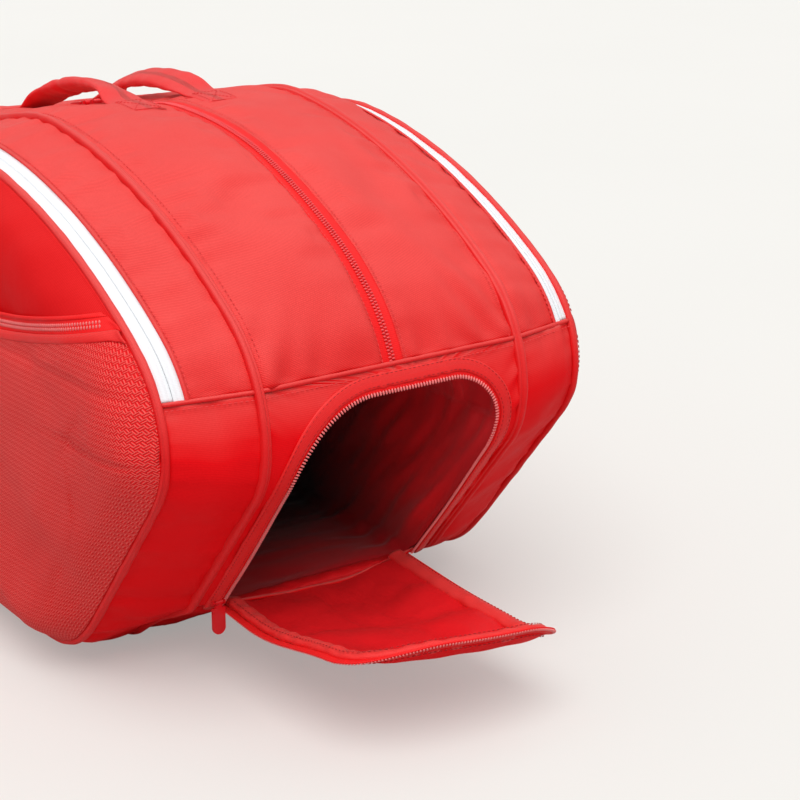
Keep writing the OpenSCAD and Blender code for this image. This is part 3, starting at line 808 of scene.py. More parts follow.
M_BOARD = hard_material("base_board_black", (0.02, 0.02, 0.022), 0.55)
M_ENAMEL = hard_material("pull_red", (0.80, 0.005, 0.012), 0.32, coat=0.3)
M_PLASTIC = hard_material("plastic_black", (0.022, 0.022, 0.024), 0.42)


def finish_piece(obj, body, slot, *nodes):
    if body:
        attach(obj, body)
    if nodes:
        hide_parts(*nodes)
    return obj


# ---------------------------------------------------------------- panels round the outline

RELAX_LIMIT = 1.4 * MM


def outline_panel(name, s_range, section, body, slot, nodes, materials, seed, side=1,
                  crown=3.0 * MM, thickness=2.2 * MM, step=3.0 * MM, fold=0.0, slack=0.9 * MM):
    """A cloth panel that runs round the outline. section holds (y, out) pairs from one seam to the other."""
    s0, s1 = s_range
    count = int((s1 - s0) / step) + 1
    s = np.linspace(s0, s1, count)[:, None]
    y = section[None, :, 0]
    span = section[:, 0].max() - section[:, 0].min()
    share = (y - section[:, 0].min()) / span
    away = np.minimum(share, 1 - share) * span
    body_mask = smooth(away / (6 * MM))
    end_gap = np.minimum(s - s0, s1 - s)
    out = section[None, :, 1] + crown * (1 - np.abs(2 * share - 1) ** 2.6) * smooth(end_gap / (30 * MM))
    out = out + body_mask * slack * waves(s, y * 1.4, 95 * MM, seed)
    out = out + body_mask * 0.35 * slack * waves(s, y, 38 * MM, seed + 1)
    out = out + pucker(s, away, seed + 2, 0.3 * MM) * smooth(away / (1.5 * MM))
    out = out + pucker(y, end_gap, seed + 3, 0.8 * MM, 20 * MM, 15 * MM) * smooth(end_gap / (2 * MM))
    if fold:
        out = out + fold_lines(s, y, s0, fold)
    points = skin(s, y * side, out)
    uv = points_of(s, y * side)
    _, _, nx, nz = outline(s)
    outward = points_of(nx, nx * 0, nz)
    points = relax(points, outward, RELAX_LIMIT)
    obj = shell(name, points, uv, thickness, materials, outward)
    return finish_piece(obj, body, slot, *nodes)


def fold_lines(s, y, s0, size):
    """Slack folds that fan out from the end corner by the piping into the panel."""
    away = s - s0
    lean = y - 58 * MM + away * 0.55
    return (size * np.sin(2 * math.pi * lean / (24 * MM)) * smooth((y - 30 * MM) / (35 * MM))
            * smooth(away / (6 * MM)) * smooth((85 * MM - away) / (70 * MM)))


def lipped_section(y0, y1, count, lip0=0.0, lip1=0.0):
    """(y, out) pairs from y0 to y1 whose ends turn down by lip0 and lip1, as folded edges do."""
    y = np.linspace(y0, y1, count)
    out = -lip0 * np.exp(-(y - y0) / (1.1 * MM)) - lip1 * np.exp(-(y1 - y) / (1.1 * MM))
    ends = np.concatenate([
        y0 + np.array([0.35, 0.9, 1.7]) * MM,
        y1 - np.array([1.7, 0.9, 0.35]) * MM,
    ])
    extra = points_of(ends, -lip0 * np.exp(-(ends - y0) / (1.1 * MM))
                      - lip1 * np.exp(-(y1 - ends) / (1.1 * MM)))
    section = np.concatenate([points_of(y, out), extra])
    return section[np.argsort(section[:, 0])]


TOP_RANGE = (SEAM_S, SEAM_FAR)
BOTTOM_RANGE = (SEAM_FAR - LOOP, SEAM_S)
PIPE_IN = MIDDLE_Y - PIPING_HALF
PIPE_OUT = MIDDLE_Y + PIPING_HALF

for side, word in ((FRONT, "front"), (REAR, "rear")):
    outline_panel(f"{word}_top_cloth", TOP_RANGE,
                  lipped_section(CENTRE_ZIP_HALF + 0.4 * MM, PIPE_IN + 0.6 * MM, 34, 2.2 * MM, 1.2 * MM),
                  "bag", "polyester", [f"{word}_top_panel"], [M_TWILL, M_DARK], 10 + side, side,
                  crown=1.6 * MM, fold=1.3 * MM if side == REAR else 0.6 * MM, slack=1.3 * MM)
    outline_panel(f"{word}_upper_gusset_cloth", TOP_RANGE,
                  lipped_section(PIPE_OUT - 0.6 * MM, ZIP_Y + 0.4 * MM, 14, 1.2 * MM, 0.8 * MM),
                  "bag", "polyester", [f"{word}_upper_gusset"], [M_TWILL, M_DARK], 20 + side, side,
                  crown=1.8 * MM)
    outline_panel(f"{word}_lower_gusset_cloth", BOTTOM_RANGE,
                  lipped_section(PIPE_OUT - 0.6 * MM, EDGE_Y + 0.3 * MM, 20, 1.2 * MM, 1.4 * MM),
                  "bag", "polyester", [f"{word}_lower_gusset"], [M_RIBS, M_DARK], 30 + side, side,
                  crown=2.6 * MM)

BASE_S = 196 * MM
outline_panel("base_cloth", (-BASE_S, BASE_S),
              lipped_section(-PIPE_IN - 0.6 * MM, PIPE_IN + 0.6 * MM, 40, 1.2 * MM, 1.2 * MM),
              "bag", "base_fabric", ["base_panel"], [M_BASE, M_DARK], 40, 1, crown=-0.8 * MM)
outline_panel("far_end_cloth", (SEAM_FAR + 0.6 * MM, LOOP - BASE_S - 0.6 * MM),
              lipped_section(-PIPE_IN - 0.6 * MM, PIPE_IN + 0.6 * MM, 44, 1.2 * MM, 1.2 * MM),
              "bag", "polyester", ["far_end_panel"], [M_RIBS, M_DARK], 50, 1, crown=3.0 * MM)


# ---------------------------------------------------------------- shoe end

LEG_POINTS, CORNER_POINTS, CREST_POINTS = 36, 20, 65


def u_path(inset, foot=0.0, corners=HOLE_R):
    """The shoe opening's U, from the front leg's foot round to the rear leg's: y, z and inward directions."""
    half, crest = HOLE_HALF - inset, HOLE_TOP - inset
    front_r, rear_r = (radius - inset for radius in corners)
    legs = []
    for radius in (front_r, rear_r):
        angle = np.linspace(0, math.pi / 2, CORNER_POINTS)
        y = np.concatenate([np.full(LEG_POINTS, half), half - radius + radius * np.cos(angle)])
        z = np.concatenate([np.linspace(FOLD_Z + foot, crest - radius, LEG_POINTS, endpoint=False),
                            crest - radius + radius * np.sin(angle)])
        inward = np.concatenate([repeated((-1.0, 0.0), LEG_POINTS),
                                 points_of(-np.cos(angle), -np.sin(angle))])
        legs.append((y, z, inward))
    (front_y, front_z, front_in), (rear_y, rear_z, rear_in) = legs
    across = np.linspace(-(half - front_r), half - rear_r, CREST_POINTS + 2)[1:-1]
    y = np.concatenate([-front_y, across, rear_y[::-1]])
    z = np.concatenate([front_z, np.full(CREST_POINTS, crest), rear_z[::-1]])
    return y, z, np.concatenate([front_in * (-1, 1), repeated((0.0, -1.0), CREST_POINTS), rear_in[::-1]])


def end_bulge(s, y):
    """How the end panel stands out between its seams."""
    return 2.0 * MM * smooth((SEAM_S - s) / (25 * MM)) * (1 - (y / MIDDLE_Y) ** 2)


def end_skin(z, y, out):
    s = s_at_height(z)
    return skin(s, y, out + end_bulge(s, y))


def build_shoe_end():
    rows = 15
    y_hole, z_hole, _ = u_path(0.0)
    count = len(y_hole)
    side_y = PIPE_IN + 0.6 * MM
    half_count = count // 2
    corner_index = LEG_POINTS + CORNER_POINTS // 2 + 1
    y_outer = np.empty(count)
    z_outer = np.empty(count)
    for k in range(half_count + 1):
        if k <= corner_index:
            y_outer[k] = -side_y
            z_outer[k] = FOLD_Z + (SEAM_Z - FOLD_Z) * (k / corner_index)
        else:
            y_outer[k] = -side_y * (1 - (k - corner_index) / (half_count - corner_index))
            z_outer[k] = SEAM_Z
        y_outer[count - 1 - k], z_outer[count - 1 - k] = -y_outer[k], z_outer[k]
    share = np.linspace(0, 1, rows)[None, :]
    y = y_hole[:, None] * (1 - share) + y_outer[:, None] * share
    z = z_hole[:, None] * (1 - share) + z_outer[:, None] * share
    from_hole = np.hypot(y - y_hole[:, None], z - z_hole[:, None])
    from_edge = np.hypot(y - y_outer[:, None], z - z_outer[:, None])
    run = np.arange(count)[:, None] * 4 * MM
    out = -1.6 * MM * np.exp(-from_hole / (1.0 * MM)) - 1.0 * MM * np.exp(-from_edge / (1.2 * MM))
    out = out + pucker(run, from_edge, 61, 0.8 * MM, 10 * MM, 12 * MM)
    out = out + pucker(run, from_hole, 62, 0.4 * MM, 6 * MM)
    out = out + 0.5 * MM * waves(z, y, 50 * MM, 63)
    points = end_skin(z, y, out)
    uv = points_of(s_at_height(z), y)
    obj = shell("shoe_end_cloth", points, uv, 2.2 * MM, [M_RIBS, M_LINING], (1.0, 0.0, -0.2))
    finish_piece(obj, "bag", "polyester", "shoe_end_panel")
    outline_panel("shoe_end_foot_cloth", (BASE_S + 0.6 * MM, FOLD_S - 0.5 * MM),
                  lipped_section(-PIPE_IN - 0.6 * MM, PIPE_IN + 0.6 * MM, 44, 1.2 * MM, 1.2 * MM),
                  "bag", "polyester", [], [M_RIBS, M_LINING], 64, 1, crown=1.0 * MM)


build_shoe_end()


def swing_open(points):
    """Turns points of the shut shoe door about its fold to where it lies at rest."""
    c, s = math.cos(DOOR_OPEN), math.sin(DOOR_OPEN)
    x, z = points[..., 0] - FOLD_X, points[..., 2] - FOLD_Z
    return points_of(FOLD_X + x * c + z * s, points[..., 1], FOLD_Z - x * s + z * c)


def turn_open(vectors):
    c, s = math.cos(DOOR_OPEN), math.sin(DOOR_OPEN)
    return points_of(vectors[..., 0] * c + vectors[..., 2] * s, vectors[..., 1],
                     -vectors[..., 0] * s + vectors[..., 2] * c)


# The open door's cloth bends a little all over, and curls more where it lies above CURL_START when shut
BEND = 3 * MM
CURL = 20 * MM
CURL_START, CURL_REACH = 75 * MM, 85 * MM


def door_curl(z, y):
    """How far the open door's cloth has curled inwards: most along the front half of its free end."""
    frontness = np.clip((HOLE_HALF - y) / (2 * HOLE_HALF), 0, 1) ** 1.6
    bend = BEND * ((z - FOLD_Z) / (HOLE_TOP - FOLD_Z)) ** 2
    return bend + CURL * smooth((z - CURL_START) / CURL_REACH) * frontness


def zip_edge(inset, out, foot=0.0):
    """A path along the U with its surface normals and its inward directions in space."""
    return edge_frame(*u_path(inset, foot=foot), out)


def door_edge(inset, out, foot=0.0):
    """The same along the edge of the open shoe door."""
    y, z, inward = u_path(inset, foot=foot, corners=DOOR_R)
    here, up, side = edge_frame(y, z, inward, out - door_curl(z, y))
    return swing_open(here), turn_open(up), turn_open(side)


def edge_frame(y, z, inward, out):
    here = end_skin(z, y, out)
    above = end_skin(z, y, out + MM)
    ahead = end_skin(z + inward[:, 1] * MM, y + inward[:, 0] * MM, out)
    return here, path_normals(above, here), path_normals(ahead, here)


def coil_row(bars, path, up, side, pitch=2.0 * MM, reach=2.6 * MM, phase=0.0, height=1.25 * MM,
             width=1.15 * MM):
    index = along_path(path, pitch, 1.0 * MM + phase)
    centre = pick(path, index) + pick(side, index) * reach * 0.35 + pick(up, index) * 0.35 * MM
    bars.add(*bar_set(centre, pick(side, index), pick(up, index), reach, width, height, 5, 8))


def build_shoe_zip():
    """The bag's half of the shoe zip: a folded binding round the opening, the tape inside it and its coil."""
    teeth, stitch = Bars(), Bars()
    tape_mid, up, side = zip_edge(SHOE_ZIP_W / 2 - 0.6 * MM, -0.5 * MM)
    tape = sweep("shoe_zip_bag_tape", tape_mid, up, side,
                 rounded_section(1.0 * MM, SHOE_ZIP_W + 0.6 * MM, 16), [M_TAPE])
    finish_piece(tape, "bag", "zip_red", "shoe_zip_bag_half")
    edge, up, side = zip_edge(SHOE_ZIP_W - 1.0 * MM, 0.1 * MM)
    coil_row(teeth, edge, up, side, pitch=2.1 * MM, reach=3.0 * MM, height=1.5 * MM, width=1.3 * MM)
    teeth.make("shoe_zip_bag_teeth", M_COIL, "bag", "zip_red")
    rim, rim_up, rim_side = zip_edge(-1.6 * MM, 0.5 * MM)
    run = np.arange(len(rim)) * 4 * MM
    wobble = 1 + 0.06 * waves(run, run * 0, 30 * MM, 65)[:, None, None]
    section = rounded_section(2.0 * MM, 8.6 * MM, 18, 2.8)[None] * wobble
    ridge = sweep("shoe_opening_binding", rim, rim_up, rim_side, section, [M_BINDING])
    finish_piece(ridge, "bag", "piping")
    for inset, lift in ((-4.6 * MM, 1.35 * MM), (1.2 * MM, 1.35 * MM)):
        line, line_up, _ = zip_edge(inset, lift, 8 * MM)
        stitch.stitches(line, line_up, thick=0.5 * MM)
    stitch.make("shoe_opening_stitches", M_THREAD_DARK, "bag", "piping")


build_shoe_zip()


def build_door():
    inset_cloth = SHOE_ZIP_W * 2 + 0.9 * MM
    half, crest = HOLE_HALF - inset_cloth, HOLE_TOP - inset_cloth
    front_r, rear_r = (radius - inset_cloth for radius in DOOR_R)
    angle = np.linspace(math.pi / 2, 0, 14)
    flat = np.linspace(-(half - front_r), half - rear_r, 40)
    y = np.concatenate([-(half - front_r) - front_r * np.sin(angle)[:-1], flat,
                        (half - rear_r + rear_r * np.sin(angle[::-1]))[1:]])
    radius = np.where(y < 0, front_r, rear_r)
    over = np.maximum(np.abs(y) - half + radius, 0)
    reach = crest - radius + np.sqrt(np.maximum(radius ** 2 - over ** 2, 0))
    share = np.linspace(0, 1, 60)[:, None]
    foot = FOLD_Z + 1.5 * MM
    z = foot + share * (reach[None] - foot)
    yy = np.broadcast_to(y[None], z.shape)
    gap = np.minimum(half - np.abs(yy), reach[None] - z)
    corner = (over[None] > 0) & (z > (crest - radius)[None])
    gap = np.where(corner, radius - np.hypot(over[None], z - crest + radius), gap)
    gap = np.maximum(gap, 0)
    curl = door_curl(z, yy)
    outer = 1.2 * MM * smooth(gap / (20 * MM)) + 0.5 * MM * waves(z, yy, 40 * MM, 71)
    quilt = 1.3 * MM * waves(z, yy, 55 * MM, 73) + 0.5 * MM * waves(z, yy, 20 * MM, 74)
    lining_top = -2.2 * MM - 1.6 * MM * smooth(gap / (12 * MM)) + quilt * smooth(gap / (16 * MM))
    uv = points_of(s_at_height(z), yy)
    cover = swing_open(end_skin(z, yy, outer - 0.3 * MM - curl))
    lining = swing_open(end_skin(z, yy, lining_top - curl))
    face = swing_open(end_skin(z, yy, -1.9 * MM - curl))
    obj = shell("shoe_door_cloth", cover, uv, 1.4 * MM, [M_RIBS], (0.3, 0.0, -1.0))
    finish_piece(obj, "shoe_door", "polyester", "shoe_door")
    thickness = np.linalg.norm(lining - face, axis=-1)
    lining = relax(lining, (-0.3, 0.0, 1.0), 2.0 * MM)
    obj = shell("shoe_door_padding", lining, uv, np.maximum(thickness - 0.2 * MM, 0.4 * MM), [M_LINING],
                (-0.3, 0.0, 1.0))
    finish_piece(obj, "shoe_door", "lining_red", "shoe_door_lining")
    build_door_rim(inset_cloth)
    build_door_hinge(lining[0], half)
    teeth, stitch = Bars(), Bars()
    mid, up, side = door_edge(SHOE_ZIP_W * 1.5 + 0.6 * MM, -0.6 * MM)
    tape = sweep("shoe_door_tape", mid, up, side, rounded_section(1.4 * MM, SHOE_ZIP_W + 1.0 * MM, 16),
                 [M_TAPE])
    finish_piece(tape, "shoe_door", "zip_red", "shoe_zip_door_half")
    edge, up, side = door_edge(SHOE_ZIP_W + 2.2 * MM, 0.0)
    coil_row(teeth, edge, up, -side, phase=1.0 * MM)
    teeth.make("shoe_door_teeth", M_COIL, "shoe_door", "zip_red")
    line, up, _ = door_edge(inset_cloth + 1.8 * MM, 0.6 * MM, 6 * MM)
    stitch.stitches(line, up)
    line, up, _ = door_edge(inset_cloth + 0.6 * MM, -6.6 * MM, 6 * MM)
    stitch.stitches(line, -up)
    stitch.make("shoe_door_stitches", M_THREAD_DARK, "shoe_door", "piping")


def build_door_rim(inset_cloth):
    """The gathered rim of the door's lining, standing up just inside its zip."""
    rim, up, side = door_edge(inset_cloth + 4.2 * MM, -3.4 * MM)
    run = run_along(rim)
    index = np.interp(np.arange(0, run[-1], 1.6 * MM), run, np.arange(len(rim)))
    rim, up, side = pick(rim, index), pick(up, index), pick(side, index)
    run = np.interp(index, np.arange(len(run)), run)
    tall = 6.4 * MM * (1 + 0.16 * waves(run, run * 0, 10 * MM, 72, 6))
    wide = 11.0 * MM * (1 + 0.08 * waves(run, run * 0, 12 * MM, 75, 6))
    section = changing_section(tall, wide, 22, 2.3)
    obj = sweep("shoe_door_rim", rim, -up, side, section, [M_BINDING])
    finish_piece(obj, "shoe_door", "lining_red")


def build_door_hinge(lining_foot, half):
    """The strip of lining that runs from the tunnel's floor over the fold onto the door."""
    y = np.linspace(-half, half, 60)
    order = np.argsort(lining_foot[:, 1])
    far = np.stack([np.interp(y, lining_foot[order, 1], lining_foot[order, k]) for k in range(3)], -1)
    near = points_of(FOLD_X - 9 * MM, y, FOLD_Z - 4.6 * MM)
    bend = points_of(FOLD_X + 1 * MM, y, FOLD_Z - 2.2 * MM)
    k = np.linspace(0, 1, 14)[None, :, None]
    points = (1 - k) ** 2 * near[:, None] + 2 * k * (1 - k) * bend[:, None] + k ** 2 * far[:, None]
    points[..., 2] += 0.5 * MM * waves(points[..., 0], points[..., 1], 18 * MM, 76)
    uv = points_of(points[..., 0], points[..., 1])
    obj = shell("shoe_door_hinge_lining", points, uv, 0.8 * MM, [M_LINING], UP)
    finish_piece(obj, None, "lining_red")
    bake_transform(obj)


build_door()


# ---------------------------------------------------------------- side panels, dividers and the mesh pocket

OUTLINE_S = np.arange(0, LOOP, 2.0 * MM)
OUTLINE_X, OUTLINE_Z, _, _ = edge_outline(OUTLINE_S)
DOME_EDGE = EDGE_INSET + 2 * MM
DOME_REACH = 14 * MM


def depth_in_outline(x, z):
    """Depth of points inside the outline, judged by their distance from a section's outer edge."""
    flat_x, flat_z = np.ravel(x), np.ravel(z)
    nearest = np.full(flat_x.shape, np.inf)
    for start in range(0, len(OUTLINE_X), 200):
        gap = np.hypot(flat_x[:, None] - OUTLINE_X[None, start:start + 200],
                       flat_z[:, None] - OUTLINE_Z[None, start:start + 200]).min(1)
        nearest = np.minimum(nearest, gap)
    return nearest.reshape(np.shape(x)) + EDGE_INSET


def inset_halves(inset):
    """The lower and upper halves of the outline moved inwards by inset, both running towards +X."""
    px, pz, _, _ = edge_outline(np.linspace(0, LOOP, 6000), inset - EDGE_INSET)
    near, far = int(np.argmax(px)), int(np.argmin(px))
    under = np.concatenate([np.arange(far, len(px)), np.arange(0, near + 1)])
    over = np.arange(near, far + 1)[::-1]
    return px[under], pz[under], px[over], pz[over]


def region(inset, cols, rows, ceiling=None):
    """A grid of columns filling the outline moved inwards by inset, as x, z and the gap to its border."""
    low_x, low_z, high_x, high_z = inset_halves(inset)
    left, right = high_x[0] + 0.2 * MM, high_x[-1] - 0.2 * MM
    turn = np.linspace(-math.pi / 2, math.pi / 2, cols)
    ease = np.linspace(-1, 1, cols)
    x = (left + right) / 2 + (right - left) / 2 * (0.55 * ease + 0.45 * np.sin(turn))
    lower = np.interp(x, low_x, low_z)
    upper = np.interp(x, high_x, high_z)
    if ceiling is not None:
        upper = np.minimum(upper, ceiling(x))
    k = np.linspace(0, 1, rows)
    share = 0.5 * k + 0.5 * (0.5 - 0.5 * np.cos(math.pi * k))
    z = lower[:, None] + share[None] * (upper - lower)[:, None]
    x = np.broadcast_to(x[:, None], z.shape)
    gap = depth_in_outline(x, z) - inset
    if ceiling is not None:
        gap = np.minimum(gap, ceiling(x) - z)
    return x, z, np.maximum(gap, 0)


def dome_y(x, z):
    """Distance of a side panel's surface from the centre line."""
    d = depth_in_outline(x, z) - DOME_EDGE
    return SIDE_Y + 0.3 * MM + (BULGE_Y - SIDE_Y - 0.3 * MM) * (1 - np.exp(-np.maximum(d, 0) / DOME_REACH))


def side_points(side, x, z, out):
    """Points of a side panel's surface, raised by out, which leans outwards near the panel's edge."""
    y = dome_y(x, z)
    return points_of(x, side * (y + out), z)


def side_relief(side, x, z):
    """Slack, puckers and the fold line of a side panel."""
    gap = np.maximum(depth_in_outline(x, z) - DOME_EDGE, 0)
    soft = smooth(gap / (12 * MM))
    around = np.arctan2(z - NOSE_Z, x * 0.5) * 160 * MM
    out = soft * (1.7 * MM * waves(x, z * 1.3, 150 * MM, 81 + side)
                  + 0.5 * MM * waves(x, z, 45 * MM, 83 + side))
    out = out + (0.4 * MM * waves(around, gap * 0, 14 * MM, 85 + side, 8)
                 * np.exp(-gap / (9 * MM)) * smooth(gap / (4 * MM)))
    return out - 1.1 * MM * np.exp(-((z - LID_Z) / (3.0 * MM)) ** 2) * soft


def build_side(side, word):
    x, z, _ = region(DOME_EDGE - 0.6 * MM, 260, 96)
    points = side_points(side, x, z, side_relief(side, x, z))
    if side == REAR:
        points = relax(points, (0.0, side, 0.0), RELAX_LIMIT)
    uv = points_of(x, z)
    obj = shell(f"{word}_side_cloth", points, uv, 2.4 * MM, [M_SIDE, M_DARK], (0.0, side, 0.0))
    finish_piece(obj, None, "side_fabric", f"{word}_side_panel", f"{word}_lid")
    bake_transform(obj)


def build_edge_piping(side, word):
    """The cord along the outer edge of a racket section, all the way round, and, on the rear section only,
    its rows of stitches.
    """
    s = np.linspace(0, LOOP, 620, endpoint=False)
    y = side * (EDGE_Y + 2.2 * MM)
    x, z, nx, nz = edge_outline(s, 0.6 * MM)
    centre = points_of(x, y, z)
    out = unit(points_of(nx, side * 0.55, nz))
    across = unit(points_of(nx * 0.48, -side * 1.0, nz * 0.48))
    bulge = 1 + 0.05 * waves(s, s * 0, 16 * MM, 91)[:, None, None]
    cord = sweep(f"{word}_edge_piping", centre, out, across,
                 rounded_section(4.6 * MM, 5.2 * MM, 14, 2.3)[None] * bulge, [M_PIPING], closed=True)
    finish_piece(cord, None, "piping", f"{word}_outer_piping")
    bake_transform(cord)
    for upper, body in ((True, f"{word}_lid"), (False, "bag")) if side == REAR else ():
        bars = Bars()
        s0, s1 = TOP_RANGE if upper else BOTTOM_RANGE
        run = np.linspace(s0 + 8 * MM, s1 - 8 * MM, 700)
        px, pz, _, _ = edge_outline(run, DOME_EDGE + 5.5 * MM - EDGE_INSET)
        path = side_points(side, px, pz, 0.35 * MM)
        ahead = side_points(side, px, pz, 1.35 * MM)
        bars.stitches(path, path_normals(ahead, path))
        bars.make(f"{word}_side_stitches_{'upper' if upper else 'lower'}", M_THREAD_DARK, body, "piping")


POCKET_INSET = DOME_EDGE - 0.4 * MM
POCKET_TOP = high("front_pocket_top").z
BINDING_W = 5.5 * MM
CREASE_Z = 178 * MM
POCKET_CLIMB = 19 * MM


def pocket_rise(x):
    """How far the pocket's mouth climbs towards the shoe end."""
    return POCKET_CLIMB * np.clip((x - 200 * MM) / (100 * MM), 0, 1.2) ** 1.3


def pocket_stand(x):
    """How far the pocket's zip stands off the side panel: most along the middle, where its slider runs."""
    return 1.0 * MM + 3.4 * MM * smooth((250 * MM - np.abs(x)) / (90 * MM))


def pocket_strip(name, z0, z1, base, roll, material, slot, *nodes):
    """A band along the pocket's mouth. Returns its X positions for the rows of stitches and teeth on it."""
    k = np.linspace(0, 1, 10)[None]
    rows = z0 + (z1 - z0) * k
    far_x, _ = reach_at((z0 + z1) / 2, POCKET_INSET)
    near_x = [reach_at(z + pocket_rise(reach_at(z + 12 * MM, POCKET_INSET)[1]),
                       POCKET_INSET - 2 * MM)[1] for z in rows[0]]
    px = far_x + 1 * MM + (np.array(near_x) - far_x - 1 * MM) * np.linspace(0, 1, 260)[:, None]
    pz = rows + pocket_rise(px)
    out = base + pocket_stand(px) + roll * (1 - np.abs(2 * k - 1) ** 2.6) + side_relief(FRONT, px, pz)
    strip = side_points(FRONT, px, pz, out)
    obj = shell(name, strip, points_of(px, pz), 0.9 * MM, [material], (0.0, FRONT, 0.0))
    finish_piece(obj, "front_lid", slot, *nodes)
    return px[:, px.shape[1] // 2]


def pocket_line(px, z, lift):
    """A path along the pocket's mouth at height z, raised by lift over the zip's standing height."""
    pz = z + pocket_rise(px)
    return side_points(FRONT, px, pz, pocket_stand(px) + lift + side_relief(FRONT, px, pz))


def build_pocket():
    x, z, gap = region(POCKET_INSET, 220, 84, ceiling=lambda column: POCKET_TOP + pocket_rise(column))
    edge_gap = np.maximum(depth_in_outline(x, z) - POCKET_INSET, 0)
    below = POCKET_TOP + pocket_rise(x) - z
    stand = pocket_stand(x) + 1.6 * MM * smooth(below / (24 * MM))
    lift = 0.8 * MM + stand * smooth(edge_gap / (20 * MM))
    sag = 0.6 * MM * waves(x, z * 1.2, 70 * MM, 101)
    gather = 0.35 * MM * waves(x, z * 0, 15 * MM, 103, 8) * np.exp(-below / (12 * MM))
    crease = -1.2 * MM * np.exp(-((z - CREASE_Z) / (1.6 * MM)) ** 2) * smooth((x - 235 * MM) / (60 * MM))
    out = side_relief(FRONT, x, z) + lift + (sag + gather + crease) * smooth(gap / (14 * MM))
    points = side_points(FRONT, x, z, out)
    loose = relax(points, (0.0, FRONT, 0.0), 1.5 * MM)
    points = np.where(loose[..., 1:2] < points[..., 1:2], loose, points)
    uv = points_of(x, z)
    obj = shell("front_pocket_mesh", points, uv, 1.0 * MM, [M_MESH, M_SIDE], (0.0, FRONT, 0.0))
    finish_piece(obj, None, "pocket_mesh", "front_mesh_pocket", "front_pocket_top")
    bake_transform(obj)
    # Binding along the top of the mesh, the zip's tape, and the folded edge of the panel above it
    zip_z = (low("front_pocket_zip").z + high("front_pocket_zip").z) / 2
    bars, teeth = Bars(), Bars()
    run = pocket_strip("front_pocket_band", zip_z - 4.2 * MM - BINDING_W, zip_z - 3.8 * MM,
                       0.9 * MM, 0.8 * MM, M_BINDING, "piping")
    pocket_strip("front_pocket_zip_tape", zip_z - 4.4 * MM, zip_z + 4.6 * MM,
                 0.2 * MM, 0.0, M_TAPE, "zip_red", "front_pocket_zip")
    pocket_strip("front_pocket_zip_flap", zip_z + 4.2 * MM, zip_z + 6.8 * MM,
                 0.5 * MM, 0.6 * MM, M_TAPE, "side_fabric")
    run = run[4:-6]
    path = pocket_line(run, zip_z - 5.6 * MM, 1.5 * MM)
    bars.stitches(path, repeated(FRONTWARD, len(path)), thick=0.5 * MM)
    bars.make("front_pocket_stitches", M_THREAD, "front_lid", "piping")
    run = np.linspace(run[0], run[-1], 600)
    for row, phase in ((-1, 0.0), (1, 1.1 * MM)):
        path = pocket_line(run, zip_z + 0.2 * MM + row * 1.2 * MM, 0.5 * MM)
        centre = pick(path, along_path(path, 2.2 * MM, 1 * MM + phase))
        count = len(centre)
        teeth.add(*bar_set(centre, repeated(UP, count), repeated(FRONTWARD, count), 2.4 * MM, 1.2 * MM,
                           1.3 * MM, 5, 8))
    teeth.make("front_pocket_teeth", M_COIL, "front_lid", "zip_red")


def reach_at(z, inset):
    """The two X ends of the outline, moved inwards by inset, at a height above the noses."""
    _, _, px, pz = inset_halves(inset)
    top = int(np.argmax(pz))
    return float(np.interp(z, pz[:top], px[:top])), float(np.interp(-z, -pz[top:], px[top:]))


def build_divider(side, word):
    x, z, gap = region(8.5 * MM, 150, 60)
    base = (LOOP_P[:, 0] >= 0) & (LOOP_P[:, 1] <= FOLD_Z)
    foot = np.interp(x[:, :1], LOOP_P[base, 0][:-1], (LOOP_P[base, 1] + LOOP_RISE[base])[:-1]) + 3.5 * MM
    foot, top = np.maximum(foot, z[:, :1]), z[:, -1:]
    z = top - (top - z) * (top - foot) / np.maximum(top - z[:, :1], 1e-9)
    thick = 3.4 * MM * smooth(gap / (10 * MM)) + 0.6 * MM
    wave = 0.6 * MM * waves(x, z, 90 * MM, 111 + side) * smooth(gap / (20 * MM))
    y = side * MIDDLE_Y + side * (thick / 2 + wave)
    points = points_of(x, y, z)
    obj = shell(f"{word}_divider_pad", points, points_of(x, z), thick, [M_DARK, M_DARK], (0.0, side, 0.0))
    finish_piece(obj, "bag", "lining_dark", f"{word}_divider")


for side, word in ((FRONT, "front"), (REAR, "rear")):
    build_side(side, word)
    build_edge_piping(side, word)
    build_divider(side, word)
build_pocket()


# ---------------------------------------------------------------- inner piping and seams

def build_inner_piping(side, word):
    """Cord with a stitched flange beside it, over the seam between the middle and a racket section."""
    s = np.linspace(0, LOOP, 900, endpoint=False)
    on_base = smooth((BASE_S + 22 * MM - np.minimum(s, LOOP - s)) / (26 * MM))
    out = 0.3 * MM - 2.9 * MM * on_base
    centre, up = raised(s, side * MIDDLE_Y, out)
    across = repeated((0.0, float(side), 0.0), len(s))
    t = np.linspace(-3.3, 3.3, 23)
    cord = np.sqrt(np.maximum(2.15 ** 2 - (t - 1.0) ** 2, 0)) + 0.35
    flange = np.sqrt(np.maximum(1.15 ** 2 - (t + 1.95) ** 2, 0)) * 0.75 + 0.35
    top = np.where(np.abs(t - 1.0) < 2.15, cord, -9)
    top = np.maximum(top, np.where(np.abs(t + 1.95) < 1.15, flange, -9))
    top = np.maximum(top, -1.6)
    section = np.concatenate([points_of(top, t), [[-3.6, 2.6], [-3.6, 0.0], [-3.6, -2.6]]]) * MM
    wobble = 1 + 0.035 * waves(s, s * 0, 14 * MM, 121 + side)[:, None, None]
    obj = sweep(f"{word}_piping_cord", centre, up, across, section[None] * wobble, [M_PIPING], closed=True)
    finish_piece(obj, "bag", "piping", f"{word}_inner_piping")


